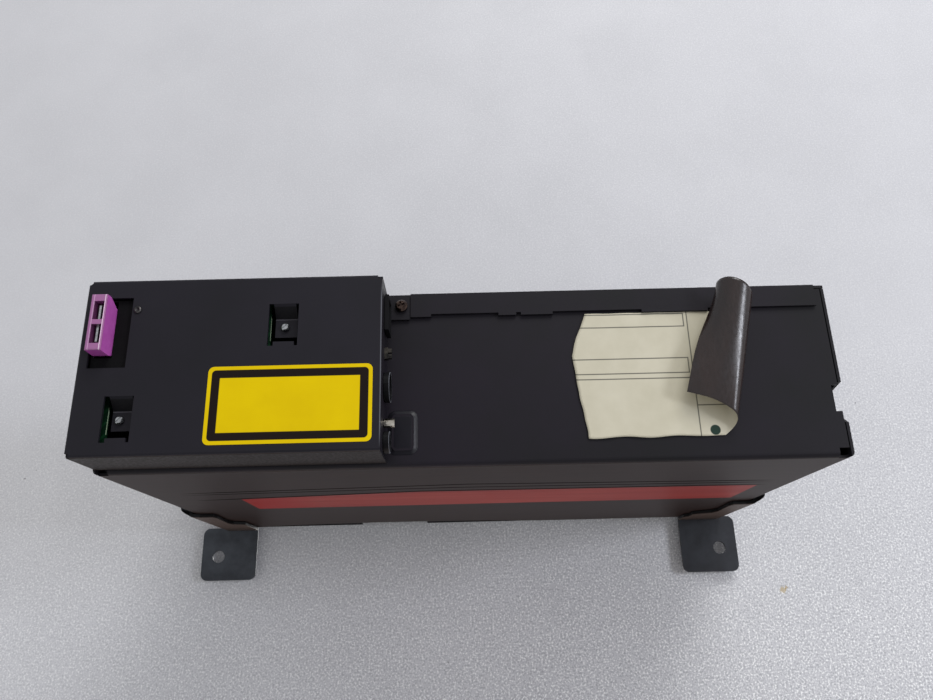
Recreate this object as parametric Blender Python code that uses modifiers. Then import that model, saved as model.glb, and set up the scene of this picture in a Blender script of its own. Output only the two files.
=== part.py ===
"""A trunk mounted disc changer, lying flat: +X right, -Y front, +Z up, origin on the bottom at the middle of the case.

All lengths are in metres. The driving sizes stand first, then the sizes of each group of pieces.
"""

import math

import bmesh
import bpy
from mathutils import Matrix, Vector

# Case
CASE_WIDTH = 0.255
CASE_DEPTH = 0.155
CASE_HEIGHT = 0.0626
SHEET = 0.001
BEND_RADIUS = 0.0018
CLEARANCE = 0.0003
OVERLAP = 0.0002
OVERRUN = 0.003
ARC_STEPS = 5

# Front edge of the top cover, cut back in a shallow arc round the thumb scoop
GRIP_X = -0.041
GRIP_CHORD = 0.150
GRIP_DEPTH = 0.008
GRIP_STEPS = 16

# Rear wall and side walls
CORNER_RELIEF = 0.0038
CORNER_RELIEF_DEPTH = 0.0022
CORNER_RELIEF_HEIGHT = 0.0032
SEAM_WIDTH = 0.0004
PAD_LEFT = -0.0277
PAD_RIGHT = -0.0202
PAD_LOW = 0.0444
PAD_HIGH = 0.0570
PAD_RISE = 0.0008
PAD_RADIUS = 0.0016
CABLE_WINDOW_LEFT = -0.098
CABLE_WINDOW_RIGHT = -0.048
CABLE_WINDOW_LOW = 0.034
CABLE_WINDOW_HIGH = 0.050
SIDE_NOTCH_DEPTH = 0.0070
SIDE_NOTCH_LOW = 0.0364
SIDE_NOTCH_FLAT_LOW = 0.0376
SIDE_NOTCH_FLAT_HIGH = 0.0460
SIDE_NOTCH_HIGH = 0.0508
WALL_NOTCH_LEFT = 0.1238
WALL_NOTCH_LOW = 0.0374
WALL_NOTCH_HIGH = 0.0468

# Bottom cover
FLANGE_LEFT = -0.0213
FLANGE_RIGHT = 0.1235
FLANGE_HEIGHT = 0.0081
FLANGE_STEP = 0.0010
FLANGE_STEPS_X = ((-0.0213, -0.0140), (0.0100, 0.0293), (0.0610, 0.0846))
FLANGE_NOTCH_X = (0.0163, 0.0180)
SIDE_FLANGE_HEIGHT = 0.0085
BOARD_POST_RADIUS = 0.0025
BOARD_POST_X = (-0.100, -0.030)
BOARD_POST_Y = (-0.045, 0.025)

# Raised interface box on the rear wall
BOX_RIGHT = -0.0294
BOX_DEPTH = 0.0202
BOX_LOW = 0.0010
BOX_HIGH = 0.0610
BOX_BEND = 0.0009
BOX_RELIEF = 0.0015
BOX_RELIEF_DEPTH = 0.0018
TONGUE_DEPTH = 0.0040
TONGUE_RAMP = 0.0040
TONGUE_RELIEF_LEFT = 0.0019
TONGUE_RELIEF_RIGHT = 0.0011
TONGUE_RELIEF_REACH = 0.0014
TONGUES = (
    {"left": -0.0666, "right": -0.0568, "low": 0.0109, "high": 0.0242, "tab": (-0.0651, -0.0578),
     "tab_end": 0.0214, "screw": (-0.0617, 0.0180)},
    {"left": -0.1171, "right": -0.1077, "low": 0.0414, "high": 0.0550, "tab": (-0.1155, -0.1082),
     "tab_end": 0.0519, "screw": (-0.1129, 0.0485)},
)
TONGUE_SCREW_RADIUS = 0.00135
TONGUE_SCREW_SHANK = 0.0007
TONGUE_SCREW_HEAD = 0.0011
TONGUE_SCREW_LENGTH = 0.0045
POST_RADIUS = 0.0028
FRAME_THICKNESS = 0.0015
FRAME_LEFT = -0.1240
FRAME_RIGHT = -0.0340
FRAME_LOW = 0.0050
FRAME_HIGH = 0.0580
BOARD_THICKNESS = 0.0016
BOARD_HOLE_LEFT = 0.0016
BOARD_HOLE_MARGIN = 0.0008

# Fuse and its holder
FUSE_X = -0.1202
FUSE_Z = 0.0181
FUSE_LENGTH = 0.0191
FUSE_WIDTH = 0.0051
FUSE_BODY_HEIGHT = 0.0120
FUSE_PROUD = 0.0060
FUSE_EDGE = 0.0007
FUSE_SHOULDER = 0.0016
FUSE_WALL = 0.0007
BLADE_WIDTH = 0.0052
BLADE_THICKNESS = 0.0007
BLADE_SPREAD = 0.0110
BLADE_LENGTH = 0.0060
LINK_HEIGHT = 0.0018
HOLDER_LEFT = -0.1240
HOLDER_RIGHT = -0.1121
HOLDER_LOW = 0.0078
HOLDER_HIGH = 0.0316
HOLDER_SINK = 0.0016
HOLDER_DEPTH = 0.0120
FUSE_TRAVEL = 0.020

# Connector panel on the right of the raised box
PANEL_MARGIN = 0.0003
FOOT_WIDTH = 0.0078
FOOT_LOW = 0.0012
FOOT_HIGH = 0.0100
FOOT_SCREW_X = -0.0245
FOOT_SCREW_Z = 0.0050
FOOT_SCREW_RADIUS = 0.0022
FOOT_SCREW_HEAD = 0.0017
SHANK_RADIUS = 0.0013
SHANK_LENGTH = 0.0055
CROSS_WIDTH = 0.0007
CROSS_LENGTH = 0.0026
CROSS_DEPTH = 0.0009
SOCKET_SHIFT = 0.0002
SOCKET_LENGTH = 0.0100
SOCKET_PROUD = 0.0021
SOCKET_WALL = 0.0006
SOCKET_DEPTH = 0.0068
BUS_SOCKET_Z = 0.0375
BUS_SOCKET_RADIUS = 0.0051
AUX_SOCKET_Z = 0.0561
AUX_SOCKET_RADIUS = 0.0036
POWER_SOCKET_LOW = 0.0056
POWER_SOCKET_HIGH = 0.0184
POWER_SOCKET_WIDTH = 0.0086
HEADER_LOW = 0.0234
HEADER_HIGH = 0.0280
HEADER_WIDTH = 0.0026
HEADER_PROUD = 0.0024
HEADER_PINS = 2
HEADER_PIN = 0.0007
JACK_POST_Z = 0.0497
JACK_POST_RADIUS = 0.0016
JACK_POST_PROUD = 0.0033

# Mounting brackets
BRACKET_SHEET = 0.0015
BRACKET_BEND = 0.0024
BRACKET_BACK = -0.0020
BRACKET_LEG_LOW = 0.0320
BRACKET_LEG_SLOPE = 0.0140
TAB_LEFT = {"inner": -0.1122, "outer": -0.1403, "top": 0.0891, "across_share": 0.6975, "up_share": 0.5496}
TAB_RIGHT = {"inner": 0.1074, "outer": 0.1360, "top": 0.0907, "across_share": 0.6888, "up_share": 0.5719}
BRACKET_SCREW_Y = (-0.058, -0.022)
BRACKET_SCREW_Z = 0.0500
BRACKET_SCREW_RADIUS = 0.0030
BRACKET_SCREW_HEAD = 0.0019
BRACKET_SCREW_SHANK = 0.0014
BRACKET_SCREW_LENGTH = 0.0052

# Angle dials in the side walls
DIAL_Y = 0.022
DIAL_Z = 0.031
DIAL_RADIUS = 0.0080
DIAL_THICKNESS = 0.0013
DIAL_BOSS_RADIUS = 0.0050
DIAL_BOSS_LENGTH = 0.0034
DIAL_SLOT_WIDTH = 0.0014
DIAL_SLOT_LENGTH = 0.0100
DIAL_SLOT_DEPTH = 0.0008

# Front bezel
BEZEL_THICKNESS = 0.0022
BEZEL_RIM = 0.0016
BEZEL_RIM_DEPTH = 0.0060
BEZEL_EDGE = 0.0007
BEZEL_FLOOR_GAP = 0.0004
BEZEL_TOP_DROP = 0.0003
SCOOP_WIDTH = 0.034
SCOOP_RADIUS = 0.003
OPENING_MARGIN = 0.0005

# Eject button with its switch board
BUTTON_X = 0.066
BUTTON_Z = 0.030
BUTTON_WIDTH = 0.016
BUTTON_HEIGHT = 0.008
BUTTON_PROUD = 0.0014
BUTTON_FLANGE = 0.0016
BUTTON_FLANGE_THICKNESS = 0.0010
BUTTON_STEM_RADIUS = 0.0015
BUTTON_STEM_LENGTH = 0.0012
BUTTON_EDGE = 0.0006
SWITCH_SIDE = 0.0046
SWITCH_HEIGHT = 0.0012
FRONT_BOARD_WIDTH = 0.046
FRONT_BOARD_HEIGHT = 0.018
FRONT_BOARD_THICKNESS = 0.0012
FRONT_BOARD_Y = -0.0721
FRONT_POST_RADIUS = 0.0020
FRONT_POST_SPREAD = 0.019

# Magazine and trays
MAGAZINE_X = -0.041
MAGAZINE_WIDTH = 0.132
MAGAZINE_FRONT_SETBACK = 0.0010
MAGAZINE_LOW = 0.0150
MAGAZINE_WALL = 0.0022
MAGAZINE_BACK_WALL = 0.0020
BAY_HALF_DEPTH = 0.0624
LEDGE_REACH = 0.0020
LEDGE_THICKNESS = 0.0012
TRAY_COUNT = 6
TRAY_PITCH = 0.0062
TRAY_FLOOR = 0.0010
TRAY_HEIGHT = 0.0032
TRAY_RING_INNER = 0.0606
TRAY_RING_OUTER = 0.0618
TRAY_HUB_RADIUS = 0.017
TRAY_SLOT_END = 0.063
TRAY_SLOT_HALF = 0.012
TRAY_TRAVEL = 0.088
RING_SIDES = 28
MAGAZINE_TRAVEL = 0.150
LABEL_RECESS_DEPTH = 0.0006
LABEL_RECESS_WIDTH = 0.074
LABEL_RECESS_HEIGHT = 0.018
GRIP_RECESS_DEPTH = 0.0070

# Mechanism frame
FRAME_SHEET = 0.0012
STAND_LOW = 0.0019
STAND_HIGH = 0.0560
STAND_WALL_Y = 0.0660
STAND_RIGHT = 0.1200
WELL_LEFT = 0.0268
DAMPER_Y = 0.045
DAMPER_Z = 0.026
DAMPER_RADIUS = 0.0065

# Lift carriage, its cam slide and its gears
CARRIAGE_LEFT = 0.0305
CARRIAGE_RIGHT = 0.1182
CARRIAGE_HALF_DEPTH = 0.0600
CARRIAGE_PLATE_LOW = 0.0086
CARRIAGE_FLANGE_LOW = 0.0052
PIN_RADIUS = 0.0015
PIN_Z = 0.0074
REAR_PINS_X = (0.042, 0.076)
FRONT_PIN_X = 0.076
LIFT_TRAVEL = 0.0382
CAM_GAP = 0.0010
CAM_MARGIN = 0.0050
CAM_CAP = 0.0048
STRIP_LEFT = 0.0330
STRIP_WIDTH = 0.0100
STRIP_THICKNESS = 0.0010
GEAR_MODULE = 0.0010
PINION_TEETH = 10
WHEEL_TEETH = 24
MOTOR_TEETH = 8
GEAR_X = -0.078
RACK_Z = 0.0220
RACK_BODY = 0.0080
GEAR_SLACK = 0.0001
WHEEL_THICKNESS = 0.0020
GEAR_SHAFT_RADIUS = 0.0015
LIFT_MOTOR_Z = 0.0075
LIFT_MOTOR_RADIUS = 0.0050
LIFT_MOTOR_LENGTH = 0.0240

# Disc drive on the carriage
SPINDLE_X = 0.047
SPINDLE_MOTOR_RADIUS = 0.013
DRIVE_LOW = 0.0048
TURNTABLE_RADIUS = 0.014
TURNTABLE_HUB_RADIUS = 0.0073
TURNTABLE_LOW = 0.0102
TURNTABLE_TOP = 0.0114
TURNTABLE_HUB_TOP = 0.0118
TURNTABLE_SHAFT = 0.0010
SLED_LEFT = 0.0629
SLED_RIGHT = 0.0770
SLED_TRAVEL = 0.034
SLED_FRONT = -0.0180
SLED_BACK = 0.0240
SLED_LOW = 0.0050
SLED_SLOT_HALF = 0.009
LENS_RADIUS = 0.004
LENS_TOP = 0.0109
LENS_OFFSET = 0.0081
ROD_Y = 0.015
ROD_Z = 0.0067
ROD_RADIUS = 0.0010
ROD_LUG_WIDTH = 0.0020
ROD_LUG_HALF = 0.0022
ROD_LUG_DROP = 0.0019
SCREW_Y = 0.021
SCREW_RADIUS = 0.0010
SLED_MOTOR_LENGTH = 0.0160
SLED_MOTOR_WIDTH = 0.0100
CLAMP_ARM_LOW = 0.0142
CLAMP_ARM_SHEET = 0.0012
CLAMP_ARM_HALF = 0.009
CLAMP_ARM_NOSE = 0.007
CLAMP_AXIS_X = 0.1162
CLAMP_BARREL = 0.0014
CLAMP_TRUNNION = 0.0010
CLAMP_POST_INNER = 0.0115
CLAMP_POST_OUTER = 0.0140
CLAMP_OPEN_DEGREES = 4.0
CLAMPER_RADIUS = 0.012
CLAMPER_LOW = 0.0121
CLAMPER_FLANGE = 0.0018
CLAMPER_STEM = 0.0022
CLAMPER_HEAD_RADIUS = 0.0040
CLAMPER_HEAD = 0.0008

# Main board under the magazine
MAIN_BOARD_LEFT = -0.106
MAIN_BOARD_RIGHT = -0.024
MAIN_BOARD_FRONT = -0.052
MAIN_BOARD_BACK = 0.034
MAIN_BOARD_Z = 0.0045
CHIP_SIDE = 0.018
CHIP_HEIGHT = 0.0020
CHIP_X = -0.066
CHIP_Y = -0.012
CAPACITOR_RADIUS = 0.0033
CAPACITOR_LENGTH = 0.012
CAPACITOR_X = -0.090
CAPACITOR_Y = 0.010
RIBBON_WIDTH = 0.016
RIBBON_THICKNESS = 0.0003
RIBBON_X = -0.075

# Paper label, half peeled off the rear wall
LABEL_LEFT = 0.0373
LABEL_LOW = 0.0092
LABEL_HIGH = 0.0543
LABEL_THICKNESS = 0.00025
LABEL_FOLD_LOW = 0.0925
LABEL_FOLD_HIGH = 0.0850
LABEL_ROLL_LOW = 0.0060
LABEL_ROLL_HIGH = 0.0030
LABEL_FLAP_LOW = 0.031
LABEL_FLAP_HIGH = 0.026
LABEL_ROLL_DEGREES = 188
LABEL_BOW = 0.0020
LABEL_CORNER = 0.0080
LABEL_CORNER_LENGTH = 0.020
LABEL_FLAT_COLUMNS = 4
LABEL_ROLL_COLUMNS = 15
LABEL_ROWS = 6

HALF_WIDTH = CASE_WIDTH / 2
REAR = CASE_DEPTH / 2
FRONT = -CASE_DEPTH / 2
BOX_FACE = REAR + BOX_DEPTH
BOX_FLOOR = REAR + CLEARANCE
BEZEL_BACK = FRONT - CLEARANCE
BEZEL_FACE = BEZEL_BACK - BEZEL_THICKNESS
MAGAZINE_LEFT = MAGAZINE_X - MAGAZINE_WIDTH / 2
MAGAZINE_RIGHT = MAGAZINE_X + MAGAZINE_WIDTH / 2
MAGAZINE_FACE = BEZEL_FACE + MAGAZINE_FRONT_SETBACK
MAGAZINE_HIGH = MAGAZINE_LOW + 2 * MAGAZINE_WALL + TRAY_COUNT * TRAY_PITCH - LEDGE_THICKNESS
BAY_LOW = MAGAZINE_LOW + MAGAZINE_WALL
TRAY_LOW = BAY_LOW + CLEARANCE
DECK_TOP = MAGAZINE_LOW - CLEARANCE
DECK_LOW = DECK_TOP - FRAME_SHEET
STAND_LEFT = MAGAZINE_LEFT - CLEARANCE - FRAME_SHEET
WELL_FLOOR = STAND_LOW + FRAME_SHEET
CAM_Y = STAND_WALL_Y + FRAME_SHEET + CAM_GAP
STRIP_LOW = WELL_FLOOR + CLEARANCE
CAM_HIGH = PIN_Z + LIFT_TRAVEL + CAM_CAP
SLOT_HALF = PIN_RADIUS + CLEARANCE
CARRIAGE_PLATE_TOP = CARRIAGE_PLATE_LOW + FRAME_SHEET
CLAMP_AXIS_Z = CLAMP_ARM_LOW + CLAMP_ARM_SHEET / 2
PINION_RADIUS = GEAR_MODULE * PINION_TEETH / 2
WHEEL_RADIUS = GEAR_MODULE * WHEEL_TEETH / 2
MOTOR_PINION_RADIUS = GEAR_MODULE * MOTOR_TEETH / 2
GEAR_Z = RACK_Z - PINION_RADIUS - GEAR_SLACK
GEAR_REACH = WHEEL_RADIUS + MOTOR_PINION_RADIUS + GEAR_SLACK
LIFT_MOTOR_X = GEAR_X + math.sqrt(GEAR_REACH ** 2 - (GEAR_Z - LIFT_MOTOR_Z) ** 2)

for old in list(bpy.data.objects):
    bpy.data.objects.remove(old)


def new_collection(name):
    made = bpy.data.collections.new(name)
    bpy.context.scene.collection.children.link(made)
    return made


PIECES = new_collection("car_cd_changer")
CUTTERS = new_collection("cutters")


def finish(name, colour, roughness, metallic):
    """A plain Principled material; colour is linear red, green and blue."""
    made = bpy.data.materials.new(name)
    made.use_nodes = True
    shader = made.node_tree.nodes["Principled BSDF"]
    shader.inputs["Base Color"].default_value = (*colour, 1)
    shader.inputs["Roughness"].default_value = roughness
    shader.inputs["Metallic"].default_value = metallic
    return made


BLACK_PAINT = (0.026, 0.026, 0.031)
BLACK_PLASTIC = (0.012, 0.012, 0.014)
ZINC = (0.46, 0.46, 0.44)
NICKEL = (0.60, 0.56, 0.48)
BOARD_GREEN = (0.02, 0.11, 0.05)
GREY_PLASTIC = (0.09, 0.09, 0.10)
RUST = (0.14, 0.065, 0.03)
PAPER = (0.58, 0.55, 0.40)
RUBBER = (0.02, 0.02, 0.02)
VIOLET = (0.36, 0.07, 0.30)


def place(name, mesh, look, origin=None, collection=None):
    """An object round a mesh given in world coordinates, with its origin moved to the point named."""
    corners = [vertex.co for vertex in mesh.vertices]
    if origin is None:
        low = [min(corner[axis] for corner in corners) for axis in range(3)]
        high = [max(corner[axis] for corner in corners) for axis in range(3)]
        origin = [(a + b) / 2 for a, b in zip(low, high)]
    origin = Vector(origin)
    mesh.transform(Matrix.Translation(-origin))
    made = bpy.data.objects.new(name, mesh)
    made.location = origin
    (collection or PIECES).objects.link(made)
    if look:
        colour, roughness, metallic = look
        mesh.materials.append(finish(name, colour, roughness, metallic))
    else:
        made.hide_render = True
        made.display_type = "WIRE"
    return made


def mesh_from(build):
    """A mesh from a function that fills a bmesh."""
    work = bmesh.new()
    build(work)
    mesh = bpy.data.meshes.new("mesh")
    work.to_mesh(mesh)
    work.free()
    return mesh


def block(low, high):
    """A box between two corners."""
    middle = (Vector(low) + Vector(high)) / 2
    size = Vector(high) - Vector(low)
    where = Matrix.Translation(middle) @ Matrix.Diagonal((*size, 1))
    return mesh_from(lambda work: bmesh.ops.create_cube(work, size=1, matrix=where))


def along(axis):
    """A turn that lays +Z along the named axis."""
    turns = {
        "x": Matrix.Rotation(math.pi / 2, 4, "Y"),
        "y": Matrix.Rotation(-math.pi / 2, 4, "X"),
        "z": Matrix.Identity(4),
    }
    return turns[axis]


def rod(start, length, radius, axis, sides=16):
    """A cylinder that runs from a point along +axis."""
    where = Matrix.Translation(start) @ along(axis) @ Matrix.Translation((0, 0, length / 2))

    def build(work):
        bmesh.ops.create_cone(work, cap_ends=True, segments=sides, radius1=radius, radius2=radius,
                              depth=length, matrix=where)

    mesh = mesh_from(build)
    mesh.shade_smooth()
    mesh.set_sharp_from_angle(angle=math.radians(40))
    return mesh


def flat(loops, plane, start, thickness):
    """A flat outline with holes, filled and raised from start along the plane's normal."""
    curve = bpy.data.curves.new("outline", "CURVE")
    curve.dimensions = "2D"
    curve.fill_mode = "BOTH"
    curve.extrude = thickness / 2
    for loop in loops:
        spline = curve.splines.new("POLY")
        spline.points.add(len(loop) - 1)
        for point, (a, b) in zip(spline.points, loop):
            point.co = (a, b, 0, 1)
        spline.use_cyclic_u = True
    guide = bpy.data.objects.new("outline", curve)
    CUTTERS.objects.link(guide)
    bpy.context.view_layer.update()
    filled = guide.evaluated_get(bpy.context.evaluated_depsgraph_get())
    mesh = bpy.data.meshes.new_from_object(filled)
    bpy.data.objects.remove(guide)
    work = bmesh.new()
    work.from_mesh(mesh)
    bmesh.ops.remove_doubles(work, verts=work.verts, dist=CLEARANCE / 100)
    caps = [face for face in work.faces if max(v.co.z for v in face.verts) - min(v.co.z for v in face.verts) < CLEARANCE / 100]
    inside = [edge for edge in work.edges if len(edge.link_faces) == 2 and all(face in caps for face in edge.link_faces)]
    bmesh.ops.beautify_fill(work, faces=caps, edges=inside)
    bmesh.ops.recalc_face_normals(work, faces=work.faces)
    if work.calc_volume(signed=True) < 0:
        bmesh.ops.reverse_faces(work, faces=work.faces)
    work.to_mesh(mesh)
    work.free()
    middle = start + thickness / 2
    turns = {
        "xy": Matrix.Translation((0, 0, middle)),
        "xz": Matrix.Translation((0, middle, 0)) @ Matrix(((1, 0, 0, 0), (0, 0, -1, 0), (0, 1, 0, 0), (0, 0, 0, 1))),
        "yz": Matrix.Translation((middle, 0, 0)) @ Matrix(((0, 0, 1, 0), (1, 0, 0, 0), (0, 1, 0, 0), (0, 0, 0, 1))),
    }
    mesh.transform(turns[plane])
    mesh.materials.clear()
    return mesh


def arc(centre, radius, start, end, steps):
    """Points on an arc, angles in degrees."""
    points = []
    for step in range(steps + 1):
        angle = math.radians(start + (end - start) * step / steps)
        points.append((centre[0] + radius * math.cos(angle), centre[1] + radius * math.sin(angle)))
    return points


def circle(centre, radius, sides):
    return arc(centre, radius, 0, 360 * (sides - 1) / sides, sides - 1)


def rounded(left, low, right, high, radius, steps=ARC_STEPS):
    """A rectangle with round corners."""
    points = arc((right - radius, high - radius), radius, 0, 90, steps)
    points += arc((left + radius, high - radius), radius, 90, 180, steps)
    points += arc((left + radius, low + radius), radius, 180, 270, steps)
    points += arc((right - radius, low + radius), radius, 270, 360, steps)
    return points


def slot_outline(start, end, radius, steps=8):
    """A round ended slot between two points."""
    turn = math.degrees(math.atan2(end[1] - start[1], end[0] - start[0]))
    return arc(end, radius, turn - 90, turn + 90, steps) + arc(start, radius, turn + 90, turn + 270, steps)


def combine(piece, mesh, operation):
    tool = place(piece.name + "_tool", mesh, None, collection=CUTTERS)
    change = piece.modifiers.new(operation.lower(), "BOOLEAN")
    change.object = tool
    change.operation = operation
    change.solver = "EXACT"
    return tool


def cut(piece, mesh):
    return combine(piece, mesh, "DIFFERENCE")


def add(piece, mesh):
    return combine(piece, mesh, "UNION")


def soften(piece, width, segments=2, degrees=40):
    """Round the edges that are sharper than an angle."""
    bevel = piece.modifiers.new("soften", "BEVEL")
    bevel.width = width
    bevel.segments = segments
    bevel.limit_method = "ANGLE"
    bevel.angle_limit = math.radians(degrees)
    return bevel


def turned(name, profile, axis, origin, look, steps=32):
    """A profile of radius and height turned round an axis, listed from the top down its outer side."""
    mesh = bpy.data.meshes.new(name)
    mesh.from_pydata([(radius, 0, height) for radius, height in profile], [(i, i + 1) for i in range(len(profile) - 1)], [])
    made = place(name, mesh, look, origin=(0, 0, 0), collection=None if look else CUTTERS)
    made.matrix_world = Matrix.Translation(origin) @ along(axis)
    spin = made.modifiers.new("turn", "SCREW")
    spin.steps = steps
    spin.render_steps = steps
    spin.use_merge_vertices = True
    spin.merge_threshold = CLEARANCE / 100
    spin.use_smooth_shade = True
    return made


def gear_outline(centre, teeth, phase=0.0):
    """A spur gear with straight flanks, a little thin, so that it runs free in its mate."""
    pitch_radius = GEAR_MODULE * teeth / 2
    tip = pitch_radius + GEAR_MODULE * tooth_tip_share
    root = pitch_radius - GEAR_MODULE * tooth_root_share
    points = []
    for tooth in range(teeth):
        middle = phase + 360 * tooth / teeth
        for radius, offset in ((root, -tooth_base_share), (tip, -tooth_top_share), (tip, tooth_top_share),
                               (root, tooth_base_share)):
            angle = math.radians(middle + 360 / teeth * offset)
            points.append((centre[0] + radius * math.cos(angle), centre[1] + radius * math.sin(angle)))
    return points


tooth_tip_share = 0.72
tooth_root_share = 1.0
tooth_base_share = 0.26
tooth_top_share = 0.11


def top_cover():
    look = (BLACK_PAINT, 0.5, 0.3)
    low = SHEET + CLEARANCE
    outer, inner = BEND_RADIUS, BEND_RADIUS - SHEET
    turn_x, turn_z = HALF_WIDTH - BEND_RADIUS, CASE_HEIGHT - BEND_RADIUS
    hoop = [(HALF_WIDTH, low)] + arc((turn_x, turn_z), outer, 0, 90, ARC_STEPS)
    hoop += arc((-turn_x, turn_z), outer, 90, 180, ARC_STEPS) + [(-HALF_WIDTH, low), (-HALF_WIDTH + SHEET, low)]
    hoop += arc((-turn_x, turn_z), inner, 180, 90, ARC_STEPS) + arc((turn_x, turn_z), inner, 90, 0, ARC_STEPS)
    hoop += [(HALF_WIDTH - SHEET, low)]
    cover = place("top_cover", flat([hoop], "xz", FRONT, CASE_DEPTH), look)
    tail = REAR - BEND_RADIUS
    cut(cover, block((-turn_x, tail, turn_z - SHEET), (turn_x, REAR + OVERRUN, CASE_HEIGHT + OVERRUN)))
    back = [(tail - SHEET, CASE_HEIGHT), (tail, CASE_HEIGHT)] + arc((tail, turn_z), outer, 90, 0, ARC_STEPS)
    back += [(REAR, low), (REAR - SHEET, low)] + arc((tail, turn_z), inner, 0, 90, ARC_STEPS)
    back += [(tail - SHEET, CASE_HEIGHT - SHEET)]
    half = HALF_WIDTH - SHEET - SEAM_WIDTH
    add(cover, flat([back], "yz", -half, 2 * half))
    chord, rise = GRIP_CHORD / 2, GRIP_DEPTH
    radius = (chord ** 2 + rise ** 2) / (2 * rise)
    spread = math.degrees(math.asin(chord / radius))
    bow = arc((GRIP_X, FRONT + rise - radius), radius, 90 + spread, 90 - spread, GRIP_STEPS)
    bow += [(GRIP_X + chord, FRONT - OVERRUN), (GRIP_X - chord, FRONT - OVERRUN)]
    cut(cover, flat([bow], "xy", CASE_HEIGHT - SHEET - OVERRUN / 2, SHEET + OVERRUN))
    for side in (-1, 1):
        inner_x, outer_x = side * (HALF_WIDTH - SHEET - CORNER_RELIEF), side * (HALF_WIDTH - SHEET)
        cut(cover, block((min(inner_x, outer_x), REAR - CORNER_RELIEF_DEPTH, CASE_HEIGHT - CORNER_RELIEF_HEIGHT),
                         (max(inner_x, outer_x), REAR + OVERRUN, CASE_HEIGHT + OVERRUN)))
        cut(cover, rod((side * HALF_WIDTH - OVERRUN, DIAL_Y, DIAL_Z), 2 * OVERRUN,
                       DIAL_BOSS_RADIUS + CLEARANCE, "x", 24))
        for y in BRACKET_SCREW_Y:
            cut(cover, rod((side * HALF_WIDTH - OVERRUN, y, BRACKET_SCREW_Z), 2 * OVERRUN,
                           BRACKET_SCREW_SHANK + CLEARANCE, "x", 12))
    pad = rounded(PAD_LEFT, PAD_LOW, PAD_RIGHT, PAD_HIGH, PAD_RADIUS)
    add(cover, flat([pad], "xz", REAR - OVERLAP, PAD_RISE + OVERLAP))
    cut(cover, block((CABLE_WINDOW_LEFT, REAR - OVERRUN, CABLE_WINDOW_LOW),
                     (CABLE_WINDOW_RIGHT, REAR + OVERRUN, CABLE_WINDOW_HIGH)))
    notch = [(REAR + OVERRUN, SIDE_NOTCH_LOW), (REAR, SIDE_NOTCH_LOW), (REAR - SIDE_NOTCH_DEPTH, SIDE_NOTCH_FLAT_LOW),
             (REAR - SIDE_NOTCH_DEPTH, SIDE_NOTCH_FLAT_HIGH), (REAR, SIDE_NOTCH_HIGH), (REAR + OVERRUN, SIDE_NOTCH_HIGH)]
    cut(cover, flat([notch], "yz", half + SEAM_WIDTH / 2, SHEET + OVERRUN))
    cut(cover, block((WALL_NOTCH_LEFT, REAR - 2 * SHEET, WALL_NOTCH_LOW), (half + SEAM_WIDTH / 2, REAR + OVERRUN, WALL_NOTCH_HIGH)))
    cut(cover, rod((FOOT_SCREW_X, REAR - OVERRUN, FOOT_SCREW_Z), 2 * OVERRUN, SHANK_RADIUS + CLEARANCE, "y", 12))
    return cover


def bottom_cover():
    tail = REAR + CLEARANCE
    tongue_left, tongue_right = FLANGE_LEFT + OVERLAP, FLANGE_RIGHT - OVERLAP
    base = [(-HALF_WIDTH, FRONT), (HALF_WIDTH, FRONT), (HALF_WIDTH, REAR), (tongue_right, REAR),
            (tongue_right, tail + SHEET / 2), (tongue_left, tail + SHEET / 2), (tongue_left, REAR), (-HALF_WIDTH, REAR)]
    cover = place("bottom_cover", flat([base], "xy", 0, SHEET), (BLACK_PAINT, 0.5, 0.3))
    top = FLANGE_HEIGHT
    flange = [(FLANGE_LEFT, OVERLAP)]
    for left, right in FLANGE_STEPS_X:
        if left > FLANGE_LEFT:
            flange.append((left, top))
        flange += [(left, top + FLANGE_STEP), (right, top + FLANGE_STEP), (right, top)]
        if left < FLANGE_NOTCH_X[0] < right:
            place_at = len(flange) - 2
            flange[place_at:place_at] = [(FLANGE_NOTCH_X[0], top + FLANGE_STEP), (FLANGE_NOTCH_X[0], top),
                                         (FLANGE_NOTCH_X[1], top), (FLANGE_NOTCH_X[1], top + FLANGE_STEP)]
    flange += [(FLANGE_RIGHT, top), (FLANGE_RIGHT, OVERLAP)]
    add(cover, flat([flange], "xz", tail, SHEET))
    for side in (-1, 1):
        outer = side * (HALF_WIDTH - SHEET - CLEARANCE)
        inner = outer - side * SHEET
        add(cover, block((min(inner, outer), FRONT + OVERRUN * 3, SHEET / 2), (max(inner, outer), REAR - OVERRUN, SIDE_FLANGE_HEIGHT)))
    for x in BOARD_POST_X:
        for y in BOARD_POST_Y:
            add(cover, rod((x, y, SHEET / 2), MAIN_BOARD_Z - CLEARANCE - SHEET / 2, BOARD_POST_RADIUS, "z", 12))
    return cover


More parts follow.
